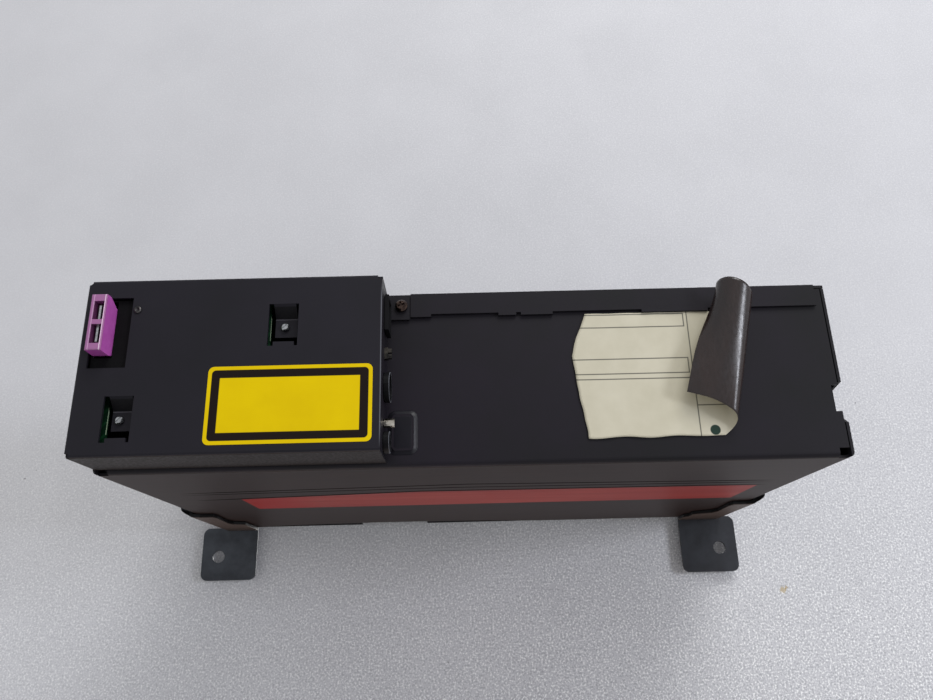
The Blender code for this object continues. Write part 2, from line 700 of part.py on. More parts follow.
def front_bezel():
    look = (BLACK_PLASTIC, 0.45, 0)
    low, high = BEZEL_FLOOR_GAP, CASE_HEIGHT - BEZEL_TOP_DROP
    half = HALF_WIDTH - CLEARANCE
    bezel = place("front_bezel", block((-half, BEZEL_FACE, low), (half, BEZEL_BACK, high)), look)
    soften(bezel, BEZEL_EDGE)
    rim_x = HALF_WIDTH - SHEET - CLEARANCE
    rim_low, rim_high = SHEET + CLEARANCE, CASE_HEIGHT - SHEET - CLEARANCE
    outer = rounded(-rim_x, rim_low, rim_x, rim_high, BEND_RADIUS)
    inner = rounded(-rim_x + BEZEL_RIM, rim_low + BEZEL_RIM, rim_x - BEZEL_RIM, rim_high - BEZEL_RIM, BEND_RADIUS)
    add(bezel, flat([outer, inner], "xz", BEZEL_BACK - OVERLAP, BEZEL_RIM_DEPTH))
    margin = OPENING_MARGIN
    cut(bezel, block((MAGAZINE_LEFT - margin, BEZEL_FACE - OVERRUN, MAGAZINE_LOW - margin),
                     (MAGAZINE_RIGHT + margin, BEZEL_BACK + OVERRUN, MAGAZINE_HIGH + margin)))
    scoop_low = MAGAZINE_HIGH - SCOOP_RADIUS
    scoop = rounded(GRIP_X - SCOOP_WIDTH / 2, scoop_low, GRIP_X + SCOOP_WIDTH / 2, CASE_HEIGHT + 2 * OVERRUN, SCOOP_RADIUS)
    cut(bezel, flat([scoop], "xz", BEZEL_FACE - OVERRUN, BEZEL_THICKNESS + BEZEL_RIM_DEPTH + 2 * OVERRUN))
    gap = CLEARANCE
    hole = rounded(BUTTON_X - BUTTON_WIDTH / 2 - gap, BUTTON_Z - BUTTON_HEIGHT / 2 - gap,
                   BUTTON_X + BUTTON_WIDTH / 2 + gap, BUTTON_Z + BUTTON_HEIGHT / 2 + gap, BUTTON_HEIGHT / 4)
    cut(bezel, flat([hole], "xz", BEZEL_FACE - OVERRUN, BEZEL_THICKNESS + 2 * OVERRUN))
    reach = FRONT_BOARD_Y - CLEARANCE - BEZEL_BACK
    for side in (-1, 1):
        add(bezel, rod((BUTTON_X + side * FRONT_POST_SPREAD, BEZEL_BACK - OVERLAP, BUTTON_Z), reach + OVERLAP,
                       FRONT_POST_RADIUS, "y", 12))
    return bezel


def eject_button():
    look = (BLACK_PLASTIC, 0.4, 0)
    half_w, half_h = BUTTON_WIDTH / 2, BUTTON_HEIGHT / 2
    face = BEZEL_FACE - BUTTON_PROUD
    flange_y = BEZEL_BACK + CLEARANCE
    cap = rounded(BUTTON_X - half_w, BUTTON_Z - half_h, BUTTON_X + half_w, BUTTON_Z + half_h, BUTTON_HEIGHT / 4)
    button = place("eject_button", flat([cap], "xz", face, flange_y - face + OVERLAP), look)
    soften(button, BUTTON_EDGE)
    add(button, block((BUTTON_X - half_w - BUTTON_FLANGE, flange_y, BUTTON_Z - half_h - BUTTON_FLANGE),
                      (BUTTON_X + half_w + BUTTON_FLANGE, flange_y + BUTTON_FLANGE_THICKNESS, BUTTON_Z + half_h + BUTTON_FLANGE)))
    add(button, rod((BUTTON_X, flange_y + BUTTON_FLANGE_THICKNESS - OVERLAP, BUTTON_Z), BUTTON_STEM_LENGTH,
                    BUTTON_STEM_RADIUS, "y", 12))


def front_board():
    half_w, half_h = FRONT_BOARD_WIDTH / 2, FRONT_BOARD_HEIGHT / 2
    outline = rounded(BUTTON_X - half_w, BUTTON_Z - half_h, BUTTON_X + half_w, BUTTON_Z + half_h, BUTTON_EDGE, 1)
    place("front_board", flat([outline], "xz", FRONT_BOARD_Y, FRONT_BOARD_THICKNESS), (BOARD_GREEN, 0.4, 0))
    side = SWITCH_SIDE / 2
    back = FRONT_BOARD_Y - CLEARANCE
    place("eject_switch", block((BUTTON_X - side, back - SWITCH_HEIGHT, BUTTON_Z - side), (BUTTON_X + side, back, BUTTON_Z + side)),
          (GREY_PLASTIC, 0.4, 0))


def interface_cover():
    left, right = -HALF_WIDTH, BOX_RIGHT

    def build(work):
        low, high = Vector((left, BOX_FLOOR, BOX_LOW)), Vector((right, BOX_FACE, BOX_HIGH))
        where = Matrix.Translation((low + high) / 2) @ Matrix.Diagonal((*(high - low), 1))
        bmesh.ops.create_cube(work, size=1, matrix=where)
        open_faces = [face for face in work.faces if face.normal.y < -0.5 or face.normal.x > 0.5]
        bmesh.ops.delete(work, geom=open_faces, context="FACES")

    cover = place("interface_cover", mesh_from(build), (BLACK_PAINT, 0.5, 0.3))
    soften(cover, BOX_BEND)
    wall = cover.modifiers.new("wall", "SOLIDIFY")
    wall.thickness = SHEET
    wall.offset = -1
    wall.use_even_offset = True
    for tongue in TONGUES:
        cut(cover, block((tongue["left"], BOX_FACE - SHEET - OVERRUN, tongue["low"]), (tongue["right"], BOX_FACE + OVERRUN, tongue["high"])))
        for near, far in ((tongue["left"], tongue["left"] + TONGUE_RELIEF_LEFT), (tongue["right"] - TONGUE_RELIEF_RIGHT, tongue["right"])):
            cut(cover, block((near, BOX_FACE - SHEET - OVERRUN, tongue["high"] - OVERLAP), (far, BOX_FACE + OVERRUN, tongue["high"] + TONGUE_RELIEF_REACH)))
        top, deep = BOX_FACE - OVERLAP / 2, BOX_FACE - TONGUE_DEPTH
        root = tongue["low"] - SHEET
        bend = tongue["low"] + TONGUE_RAMP
        blade = [(top, root), (top, tongue["low"]), (deep, bend), (deep, tongue["tab_end"]),
                 (deep - SHEET, tongue["tab_end"]), (deep - SHEET, bend - SHEET / 2),
                 (BOX_FACE - SHEET + OVERLAP / 2, tongue["low"] - SHEET / 2), (BOX_FACE - SHEET + OVERLAP / 2, root)]
        add(cover, flat([blade], "yz", tongue["tab"][0], tongue["tab"][1] - tongue["tab"][0]))
        x, z = tongue["screw"]
        cut(cover, rod((x, deep - OVERRUN, z), 2 * OVERRUN, TONGUE_SCREW_SHANK + CLEARANCE, "y", 12))
    gap = CLEARANCE
    cut(cover, block((HOLDER_LEFT - gap, BOX_FACE - SHEET - OVERRUN, HOLDER_LOW - gap),
                     (HOLDER_RIGHT + gap, BOX_FACE + OVERRUN, HOLDER_HIGH + gap)))
    for x, z in ((left, BOX_LOW), (left, BOX_HIGH), (right, BOX_LOW)):
        low = max(z - BOX_RELIEF, SHEET / 2)
        cut(cover, block((x - BOX_RELIEF, BOX_FACE - BOX_RELIEF_DEPTH, low), (x + BOX_RELIEF, BOX_FACE + OVERRUN, z + BOX_RELIEF)))
    return cover


def interface_frame():
    """Plastic frame on the rear wall with the two posts that the cover's tongues are screwed to."""
    window = rounded(CABLE_WINDOW_LEFT, CABLE_WINDOW_LOW, CABLE_WINDOW_RIGHT, CABLE_WINDOW_HIGH, CLEARANCE, 1)
    outline = rounded(FRAME_LEFT, FRAME_LOW, FRAME_RIGHT, FRAME_HIGH, FRAME_THICKNESS, 2)
    base = BOX_FLOOR
    frame = place("interface_frame", flat([outline, window], "xz", base, FRAME_THICKNESS), (BLACK_PLASTIC, 0.5, 0))
    reach = BOX_FACE - TONGUE_DEPTH - SHEET - CLEARANCE - base
    for tongue in TONGUES:
        x, z = tongue["screw"]
        add(frame, rod((x, base + OVERLAP, z), reach - OVERLAP, POST_RADIUS, "y", 16))
        cut(frame, rod((x, base + reach - TONGUE_SCREW_LENGTH, z), TONGUE_SCREW_LENGTH + OVERRUN,
                       TONGUE_SCREW_SHANK + CLEARANCE, "y", 12))


def interface_board():
    front = BOX_FACE - TONGUE_DEPTH
    outline = [(FRAME_LEFT, HOLDER_HIGH + 2 * CLEARANCE), (HOLDER_RIGHT + 2 * CLEARANCE, HOLDER_HIGH + 2 * CLEARANCE),
               (HOLDER_RIGHT + 2 * CLEARANCE, FRAME_LOW), (FRAME_RIGHT, FRAME_LOW), (FRAME_RIGHT, FRAME_HIGH), (FRAME_LEFT, FRAME_HIGH)]
    loops = [outline]
    for tongue in TONGUES:
        left, right = tongue["tab"]
        loops.append([(left - BOARD_HOLE_LEFT, tongue["low"] - SHEET), (right + BOARD_HOLE_MARGIN, tongue["low"] - SHEET),
                      (right + BOARD_HOLE_MARGIN, tongue["high"] + BOARD_HOLE_MARGIN),
                      (left - BOARD_HOLE_LEFT, tongue["high"] + BOARD_HOLE_MARGIN)])
    place("interface_board", flat(loops, "xz", front - BOARD_THICKNESS, BOARD_THICKNESS), (BOARD_GREEN, 0.4, 0))


def tongue_screws():
    seat = BOX_FACE - TONGUE_DEPTH + CLEARANCE
    for number, tongue in enumerate(TONGUES, 1):
        x, z = tongue["screw"]
        head, radius = TONGUE_SCREW_HEAD, TONGUE_SCREW_RADIUS
        profile = [(0, head), (radius * screw_crown_share, head), (radius, head * screw_rim_share), (radius, 0),
                   (TONGUE_SCREW_SHANK, 0), (TONGUE_SCREW_SHANK, -TONGUE_SCREW_LENGTH), (0, -TONGUE_SCREW_LENGTH)]
        screw = turned(f"tongue_screw_{number}", profile, "y", (x, seat, z), (ZINC, 0.3, 1), 14)
        slot = block((-TONGUE_SCREW_RADIUS * 2, -CROSS_WIDTH / 2, -CROSS_WIDTH / 2), (TONGUE_SCREW_RADIUS * 2, CROSS_WIDTH / 2, CROSS_WIDTH / 2))
        slot.transform(Matrix.Translation((x, seat + head, z)) @ Matrix.Rotation(math.radians(45), 4, "Y"))
        cut(screw, slot)


screw_crown_share = 0.72
screw_rim_share = 0.55


def pan_screw(name, seat, axis_turn, radius, head, shank, length, look):
    """A cross recessed pan head screw; its head points along +Y before the turn."""
    profile = [(0, head), (radius * screw_crown_share, head * 0.92), (radius, head * screw_rim_share), (radius, 0),
               (shank, 0), (shank, -length), (0, -length)]
    screw = turned(name, profile, "z", (0, 0, 0), look, 16)
    screw.matrix_world = Matrix.Translation(seat) @ axis_turn
    for turn in (0, 90):
        bar = block((-CROSS_LENGTH / 2, -CROSS_WIDTH / 2, head - CROSS_DEPTH), (CROSS_LENGTH / 2, CROSS_WIDTH / 2, head + OVERRUN))
        bar.transform(Matrix.Translation(seat) @ axis_turn @ Matrix.Rotation(math.radians(turn + 20), 4, "Z"))
        cut(screw, bar)
    return screw


def connector_panel():
    front, back = BOX_FACE - SHEET - PANEL_MARGIN, BOX_FLOOR
    low, high = BOX_LOW + SHEET + PANEL_MARGIN, BOX_HIGH - SHEET - PANEL_MARGIN
    middle = (front + back) / 2
    gap = CLEARANCE
    loops = [[(back, low), (front, low), (front, high), (back, high)]]
    for z, radius in ((BUS_SOCKET_Z, BUS_SOCKET_RADIUS), (AUX_SOCKET_Z, AUX_SOCKET_RADIUS), (JACK_POST_Z, JACK_POST_RADIUS)):
        loops.append(circle((middle, z), radius - SOCKET_WALL + gap, 24))
    half = POWER_SOCKET_WIDTH / 2 - SOCKET_WALL
    loops[3] = circle((middle, JACK_POST_Z), JACK_POST_RADIUS * jack_neck_share + gap, 16)
    loops.append([(middle - half - gap, POWER_SOCKET_LOW + SOCKET_WALL - gap), (middle + half + gap, POWER_SOCKET_LOW + SOCKET_WALL - gap),
                  (middle + half + gap, POWER_SOCKET_HIGH - SOCKET_WALL + gap), (middle - half - gap, POWER_SOCKET_HIGH - SOCKET_WALL + gap)])
    loops.append([(middle - HEADER_WIDTH / 2, HEADER_LOW), (middle + HEADER_WIDTH / 2, HEADER_LOW),
                  (middle + HEADER_WIDTH / 2, HEADER_HIGH), (middle - HEADER_WIDTH / 2, HEADER_HIGH)])
    panel = place("connector_panel", flat(loops, "yz", BOX_RIGHT - SHEET, SHEET), (BLACK_PAINT, 0.5, 0.4))
    foot = [(BOX_RIGHT - SHEET / 2, low + OVERLAP), (BOX_RIGHT, low + OVERLAP), (BOX_RIGHT, FOOT_LOW), (BOX_RIGHT + FOOT_WIDTH, FOOT_LOW),
            (BOX_RIGHT + FOOT_WIDTH, FOOT_HIGH), (BOX_RIGHT - SHEET / 2, FOOT_HIGH)]
    hole = circle((FOOT_SCREW_X, FOOT_SCREW_Z), SHANK_RADIUS + gap, 16)
    add(panel, flat([foot, hole], "xz", back, SHEET))
    return middle


jack_neck_share = 0.7


def sockets(middle):
    """The round sockets, the power socket and the jack post that stick out of the panel."""
    for name, z, radius in (("bus_socket", BUS_SOCKET_Z, BUS_SOCKET_RADIUS), ("aux_socket", AUX_SOCKET_Z, AUX_SOCKET_RADIUS)):
        collar = SOCKET_PROUD - CLEARANCE
        bore = radius - 2 * SOCKET_WALL
        body = radius - SOCKET_WALL
        profile = [(0, collar - SOCKET_DEPTH), (bore, collar - SOCKET_DEPTH), (bore, collar), (radius, collar), (radius, 0),
                   (body, 0), (body, -SOCKET_LENGTH), (0, -SOCKET_LENGTH)]
        turned(name, profile, "x", (BOX_RIGHT + CLEARANCE, middle, z), (GREY_PLASTIC, 0.4, 0), 24)
    half = POWER_SOCKET_WIDTH / 2
    seat = BOX_RIGHT + CLEARANCE
    collar = block((seat, middle - half, POWER_SOCKET_LOW), (BOX_RIGHT + SOCKET_PROUD * 0.8, middle + half, POWER_SOCKET_HIGH))
    socket = place("power_socket", collar, (BLACK_PLASTIC, 0.4, 0))
    inner = half - SOCKET_WALL
    add(socket, block((seat - SOCKET_LENGTH, middle - inner, POWER_SOCKET_LOW + SOCKET_WALL), (seat + OVERLAP, middle + inner, POWER_SOCKET_HIGH - SOCKET_WALL)))
    cavity = inner - SOCKET_WALL
    cut(socket, block((seat - SOCKET_DEPTH, middle - cavity, POWER_SOCKET_LOW + 2 * SOCKET_WALL),
                      (seat + OVERRUN, middle + cavity, POWER_SOCKET_HIGH - 2 * SOCKET_WALL)))
    half = HEADER_WIDTH / 2 - CLEARANCE
    low, high = HEADER_LOW + CLEARANCE, HEADER_HIGH - CLEARANCE
    header = place("pin_header", block((seat - SHEET * 3, middle - half, low), (BOX_RIGHT + HEADER_PROUD / 2, middle + half, high)), (RUST, 0.4, 0.8))
    pitch = (high - low) / HEADER_PINS
    for number in range(HEADER_PINS):
        z = low + pitch * (number + 0.5)
        add(header, block((seat, middle - HEADER_PIN, z - HEADER_PIN), (BOX_RIGHT + HEADER_PROUD, middle + HEADER_PIN, z + HEADER_PIN)))
    neck = JACK_POST_RADIUS * jack_neck_share
    profile = [(0, JACK_POST_PROUD), (JACK_POST_RADIUS, JACK_POST_PROUD), (JACK_POST_RADIUS, 0), (neck, 0),
               (neck, -SHEET * 3), (0, -SHEET * 3)]
    turned("jack_post", profile, "x", (seat, middle, JACK_POST_Z), (NICKEL, 0.3, 1), 16)


def fuse():
    """Blade fuse: a clear body open at its foot, over a metal element of two blades and a thin link."""
    half_x, half_z = FUSE_WIDTH / 2, FUSE_LENGTH / 2
    top = BOX_FACE + FUSE_PROUD
    foot = top - FUSE_BODY_HEIGHT
    outline = [(-half_z, foot + FUSE_BODY_HEIGHT / 2), (-half_z + FUSE_SHOULDER, foot), (half_z - FUSE_SHOULDER, foot),
               (half_z, foot + FUSE_BODY_HEIGHT / 2), (half_z, top), (-half_z, top)]
    body = place("fuse_body", flat([[(y, FUSE_Z + z) for z, y in outline]], "yz", FUSE_X - half_x, FUSE_WIDTH), (VIOLET, 0.2, 0))
    soften(body, FUSE_EDGE, 2, 60)
    wall = FUSE_WALL * 2
    cut(body, block((FUSE_X - half_x + wall, foot - OVERRUN, FUSE_Z - half_z + FUSE_SHOULDER + wall),
                    (FUSE_X + half_x - wall, top - wall, FUSE_Z + half_z - FUSE_SHOULDER - wall)))
    reach = BLADE_SPREAD / 2
    half = BLADE_WIDTH / 2
    high = top - wall - CLEARANCE
    tip = foot - BLADE_LENGTH
    notch = high - LINK_HEIGHT
    limit = half_z - FUSE_SHOULDER - wall - CLEARANCE
    left, right = FUSE_Z - min(reach + half, limit), FUSE_Z + min(reach + half, limit)
    u_shape = [(tip, left), (high, left), (high, right), (tip, right), (tip, FUSE_Z + reach - half),
               (notch, FUSE_Z + reach - half), (notch, FUSE_Z - reach + half), (tip, FUSE_Z - reach + half)]
    place("fuse_element", flat([u_shape], "yz", FUSE_X - BLADE_THICKNESS / 2, BLADE_THICKNESS), (ZINC, 0.3, 1))


def fuse_holder():
    top = BOX_FACE - HOLDER_SINK
    bottom = BOX_FACE - CLEARANCE - HOLDER_DEPTH
    holder = place("fuse_holder", block((HOLDER_LEFT, bottom, HOLDER_LOW), (HOLDER_RIGHT, top, HOLDER_HIGH)), (BLACK_PLASTIC, 0.45, 0))
    gap = CLEARANCE
    half_x, half_z = FUSE_WIDTH / 2 + gap, FUSE_LENGTH / 2 + gap
    foot = BOX_FACE + FUSE_PROUD - FUSE_BODY_HEIGHT - gap
    cut(holder, block((FUSE_X - half_x, foot, FUSE_Z - half_z), (FUSE_X + half_x, top + OVERRUN, FUSE_Z + half_z)))
    reach, half, thick = BLADE_SPREAD / 2, BLADE_WIDTH / 2 + gap, BLADE_THICKNESS / 2 + gap
    for side in (-1, 1):
        cut(holder, block((FUSE_X - thick, bottom - OVERRUN, FUSE_Z + side * reach - half), (FUSE_X + thick, foot + OVERRUN / 2, FUSE_Z + side * reach + half)))
    floor = BOX_FLOOR + FRAME_THICKNESS + CLEARANCE
    inset = BLADE_THICKNESS
    for x in (HOLDER_LEFT + inset + BLADE_THICKNESS, HOLDER_RIGHT - inset - BLADE_THICKNESS):
        add(holder, block((x - inset, floor, HOLDER_LOW + inset), (x + inset, bottom + OVERLAP, HOLDER_HIGH - inset)))


def bracket(name, side, tab):
    """One bent bracket: a wavy flange on the top cover, a leg down the side wall and a tab with a hole at the front."""
    look = (BLACK_PAINT, 0.5, 0.4)
    thick = BRACKET_SHEET
    face = HALF_WIDTH + CLEARANCE
    floor = CASE_HEIGHT + CLEARANCE
    outer = BRACKET_BEND
    inner = BRACKET_BEND - thick
    turn_x, turn_z = face - inner, floor - inner
    near, far = abs(tab["inner"]), abs(tab["outer"])
    shape = [(near, floor + thick)]
    shape += arc((turn_x, turn_z), outer, 90, 0, ARC_STEPS) + [(face + thick, BRACKET_LEG_LOW), (face, BRACKET_LEG_LOW)]
    shape += arc((turn_x, turn_z), inner, 0, 90, ARC_STEPS) + [(near, floor)]
    length = BRACKET_BACK - FRONT
    piece = place(name, flat([[(side * x, z) for x, z in shape]], "xz", FRONT, length), look)
    edge = [(HALF_WIDTH + x_step, BRACKET_BACK + y_step) for x_step, y_step in wave_points]
    kept = [point for point in edge if point[0] > near]
    last = edge[len(kept)][1] if len(kept) < len(edge) else wave_end
    wave = [(near - OVERRUN, BRACKET_BACK + OVERRUN), (face + OVERRUN, BRACKET_BACK + OVERRUN)] + kept + [(near - OVERRUN, last)]
    cut(piece, flat([[(side * x, y) for x, y in wave]], "xy", floor - SHEET - BRACKET_BEND, 2 * BRACKET_BEND + SHEET))
    leg = [(BRACKET_BACK + OVERRUN, BRACKET_LEG_LOW - OVERRUN), (BRACKET_BACK + OVERRUN, BRACKET_LEG_LOW + BRACKET_LEG_SLOPE),
           (BRACKET_BACK - BRACKET_LEG_SLOPE, BRACKET_LEG_LOW - OVERRUN)]
    start = side * face - OVERRUN
    cut(piece, flat([leg], "yz", start, 2 * OVERRUN))
    low, high = floor, tab["top"]
    radius = (far - near) * tab_corner_share
    plate = arc((far - radius, low + radius), radius, 270, 360, ARC_STEPS) + arc((far - radius, high - radius), radius, 0, 90, ARC_STEPS)
    plate += arc((near + radius, high - radius), radius, 90, 180, ARC_STEPS) + [(near, low)]
    hole = circle((near + (far - near) * tab["across_share"], low + (high - low) * tab["up_share"]), (far - near) * tab_hole_share, 24)
    add(piece, flat([[(side * x, z) for x, z in loop] for loop in (plate, hole)], "xz", FRONT, thick))
    for y in BRACKET_SCREW_Y:
        cut(piece, rod((side * face - OVERRUN, y, BRACKET_SCREW_Z), 2 * OVERRUN, BRACKET_SCREW_SHANK + CLEARANCE, "x", 12))
    for number, y in enumerate(BRACKET_SCREW_Y, 1):
        turn = along("x") if side > 0 else Matrix.Rotation(-math.pi / 2, 4, "Y")
        seat = (side * (face + thick + CLEARANCE), y, BRACKET_SCREW_Z)
        pan_screw(f"{name}_screw_{number}", seat, turn, BRACKET_SCREW_RADIUS, BRACKET_SCREW_HEAD, BRACKET_SCREW_SHANK,
                  BRACKET_SCREW_LENGTH, (ZINC, 0.4, 1))


wave_points = ((0.0020, -0.0060), (0.0010, -0.0170), (-0.0030, -0.0196), (-0.0088, -0.0196), (-0.0096, -0.0240),
               (-0.0088, -0.0420), (-0.0100, -0.0476), (-0.0150, -0.0500), (-0.0184, -0.0530), (-0.0182, -0.0600))
wave_end = -0.0700
tab_corner_share = 0.12
tab_hole_share = 0.1095


def angle_dials():
    for name, side in (("angle_dial_left", -1), ("angle_dial_right", 1)):
        thick = DIAL_THICKNESS
        profile = [(0, thick), (DIAL_RADIUS - thick / 2, thick), (DIAL_RADIUS, thick / 2), (DIAL_RADIUS, 0), (DIAL_BOSS_RADIUS, 0),
                   (DIAL_BOSS_RADIUS, -DIAL_BOSS_LENGTH), (0, -DIAL_BOSS_LENGTH)]
        dial = turned(name, profile, "z", (0, 0, 0), (GREY_PLASTIC, 0.45, 0), 28)
        turn = along("x") if side > 0 else Matrix.Rotation(-math.pi / 2, 4, "Y")
        seat = (side * (HALF_WIDTH + CLEARANCE), DIAL_Y, DIAL_Z)
        dial.matrix_world = Matrix.Translation(seat) @ turn
        bar = block((-DIAL_SLOT_LENGTH / 2, -DIAL_SLOT_WIDTH / 2, thick - DIAL_SLOT_DEPTH), (DIAL_SLOT_LENGTH / 2, DIAL_SLOT_WIDTH / 2, thick + OVERRUN))
        bar.transform(Matrix.Translation(seat) @ turn)
        cut(dial, bar)


def magazine():
    look = (BLACK_PLASTIC, 0.45, 0)
    high = MAGAZINE_HIGH
    back = BAY_HALF_DEPTH + MAGAZINE_BACK_WALL
    outer = rounded(MAGAZINE_FACE, MAGAZINE_LOW, back, high, MAGAZINE_WALL / 2, 2)
    bay = [(-BAY_HALF_DEPTH, BAY_LOW), (BAY_HALF_DEPTH, BAY_LOW)]
    for side in (1, -1):
        steps = range(1, TRAY_COUNT) if side > 0 else range(TRAY_COUNT - 1, 0, -1)
        for step in steps:
            top = BAY_LOW + step * TRAY_PITCH
            wall, tip = side * BAY_HALF_DEPTH, side * (BAY_HALF_DEPTH - LEDGE_REACH)
            ledge = [(wall, top - LEDGE_THICKNESS), (tip, top - LEDGE_THICKNESS), (tip, top), (wall, top)]
            bay += ledge if side > 0 else ledge[::-1]
        if side > 0:
            bay += [(BAY_HALF_DEPTH, high - MAGAZINE_WALL), (-BAY_HALF_DEPTH, high - MAGAZINE_WALL)]
    tunnel = [(MAGAZINE_FACE + MAGAZINE_WALL, BAY_LOW), (-BAY_HALF_DEPTH - MAGAZINE_WALL, BAY_LOW),
              (-BAY_HALF_DEPTH - MAGAZINE_WALL, high - MAGAZINE_WALL), (MAGAZINE_FACE + MAGAZINE_WALL, high - MAGAZINE_WALL)]
    origin = (MAGAZINE_X, 0, MAGAZINE_LOW)
    shell = place("magazine_shell", flat([outer], "yz", MAGAZINE_LEFT, MAGAZINE_WIDTH), look, origin)
    cut(shell, flat([bay], "yz", MAGAZINE_LEFT + MAGAZINE_WALL, MAGAZINE_WIDTH))
    cut(shell, flat([tunnel], "yz", MAGAZINE_LEFT + MAGAZINE_WALL, MAGAZINE_WIDTH))
    half = LABEL_RECESS_WIDTH / 2
    middle = (MAGAZINE_LOW + high) / 2
    recess = rounded(MAGAZINE_X - half, middle - LABEL_RECESS_HEIGHT / 2, MAGAZINE_X + half, middle + LABEL_RECESS_HEIGHT / 2, MAGAZINE_WALL / 2, 2)
    cut(shell, flat([recess], "xz", MAGAZINE_FACE - OVERRUN, LABEL_RECESS_DEPTH + OVERRUN))
    grip = slot_outline((MAGAZINE_X - SCOOP_WIDTH / 4, high + SCOOP_RADIUS), (MAGAZINE_X + SCOOP_WIDTH / 4, high + SCOOP_RADIUS), 2 * SCOOP_RADIUS)
    cut(shell, flat([grip], "xz", MAGAZINE_FACE + MAGAZINE_WALL, GRIP_RECESS_DEPTH))


def trays():
    left = MAGAZINE_LEFT + MAGAZINE_WALL + CLEARANCE
    right = MAGAZINE_RIGHT - CLEARANCE
    half = BAY_HALF_DEPTH - CLEARANCE
    plate = rounded(left, -half, right, half, TRAY_HEIGHT, 2)
    turn = math.degrees(math.asin(TRAY_SLOT_HALF / TRAY_HUB_RADIUS))
    keyhole = arc((MAGAZINE_X, 0), TRAY_HUB_RADIUS, turn, 360 - turn, 18)
    keyhole += [(MAGAZINE_X + TRAY_SLOT_END, -TRAY_SLOT_HALF), (MAGAZINE_X + TRAY_SLOT_END, TRAY_SLOT_HALF)]
    ring = [circle((MAGAZINE_X, 0), TRAY_RING_OUTER, RING_SIDES), circle((MAGAZINE_X, 0), TRAY_RING_INNER, RING_SIDES)]
    for number in range(TRAY_COUNT):
        low = TRAY_LOW + number * TRAY_PITCH
        tray = place(f"tray_{number + 1}", flat([plate], "xy", low, TRAY_FLOOR), (GREY_PLASTIC, 0.45, 0), (MAGAZINE_X, 0, low))
        add(tray, flat(ring, "xy", low + TRAY_FLOOR / 2, TRAY_HEIGHT - TRAY_FLOOR / 2))
        cut(tray, flat([keyhole], "xy", low - OVERRUN, TRAY_HEIGHT + 2 * OVERRUN))


def mechanism_frame():
    """Bent sheet frame: a deck under the magazine, a well for the carriage and walls with guide slots."""
    thick = FRAME_SHEET
    step = [(STAND_LEFT, STAND_HIGH), (STAND_LEFT, DECK_LOW), (WELL_LEFT, DECK_LOW), (WELL_LEFT, STAND_LOW), (STAND_RIGHT, STAND_LOW),
            (STAND_RIGHT, STAND_HIGH), (STAND_RIGHT - thick, STAND_HIGH), (STAND_RIGHT - thick, WELL_FLOOR),
            (WELL_LEFT + thick, WELL_FLOOR), (WELL_LEFT + thick, DECK_TOP), (STAND_LEFT + thick, DECK_TOP), (STAND_LEFT + thick, STAND_HIGH)]
    reach = STAND_WALL_Y + thick
    frame = place("mechanism_frame", flat([step], "xz", -reach, 2 * reach), (ZINC, 0.4, 1))
    rear = [(STAND_LEFT, STAND_LOW), (STAND_RIGHT, STAND_LOW), (STAND_RIGHT, STAND_HIGH), (STAND_LEFT, STAND_HIGH)]
    high = PIN_Z + LIFT_TRAVEL
    rear_loops = [rear] + [slot_outline((x, PIN_Z), (x, high), SLOT_HALF) for x in REAR_PINS_X]
    window = (STRIP_LEFT - CLEARANCE, STRIP_LEFT + STRIP_WIDTH + LIFT_TRAVEL + CLEARANCE, WELL_FLOOR, STRIP_LOW + STRIP_THICKNESS + CLEARANCE)
    rear_loops.append(circle((LIFT_MOTOR_X, LIFT_MOTOR_Z), GEAR_SHAFT_RADIUS + CLEARANCE, 12))
    add(frame, flat(rear_loops, "xz", STAND_WALL_Y, thick))
    front = [(WELL_LEFT, STAND_LOW), (STAND_RIGHT, STAND_LOW), (STAND_RIGHT, STAND_HIGH), (WELL_LEFT, STAND_HIGH)]
    add(frame, flat([front, slot_outline((FRONT_PIN_X, PIN_Z), (FRONT_PIN_X, high), SLOT_HALF)], "xz", -reach, thick))
    for start in (-reach - OVERRUN, STAND_WALL_Y - OVERRUN):
        cut(frame, block((window[0], start, window[2]), (window[1], start + thick + 2 * OVERRUN, window[3])))
    length = CAM_GAP + thick + 2 * WHEEL_THICKNESS
    add(frame, rod((GEAR_X, reach - OVERLAP, GEAR_Z), length, GEAR_SHAFT_RADIUS, "y", 16))


def dampers():
    case = HALF_WIDTH - SHEET - CLEARANCE
    number = 0
    for inner, outer in ((STAND_LEFT - CLEARANCE, -case), (STAND_RIGHT + CLEARANCE, case)):
        for y in (-DAMPER_Y, DAMPER_Y):
            number += 1
            start = min(inner, outer)
            length = abs(outer - inner)
            damper = place(f"damper_{number}", rod((start, y, DAMPER_Z), length, DAMPER_RADIUS, "x", 20), (RUBBER, 0.8, 0))
            soften(damper, CLEARANCE * 3, 1)


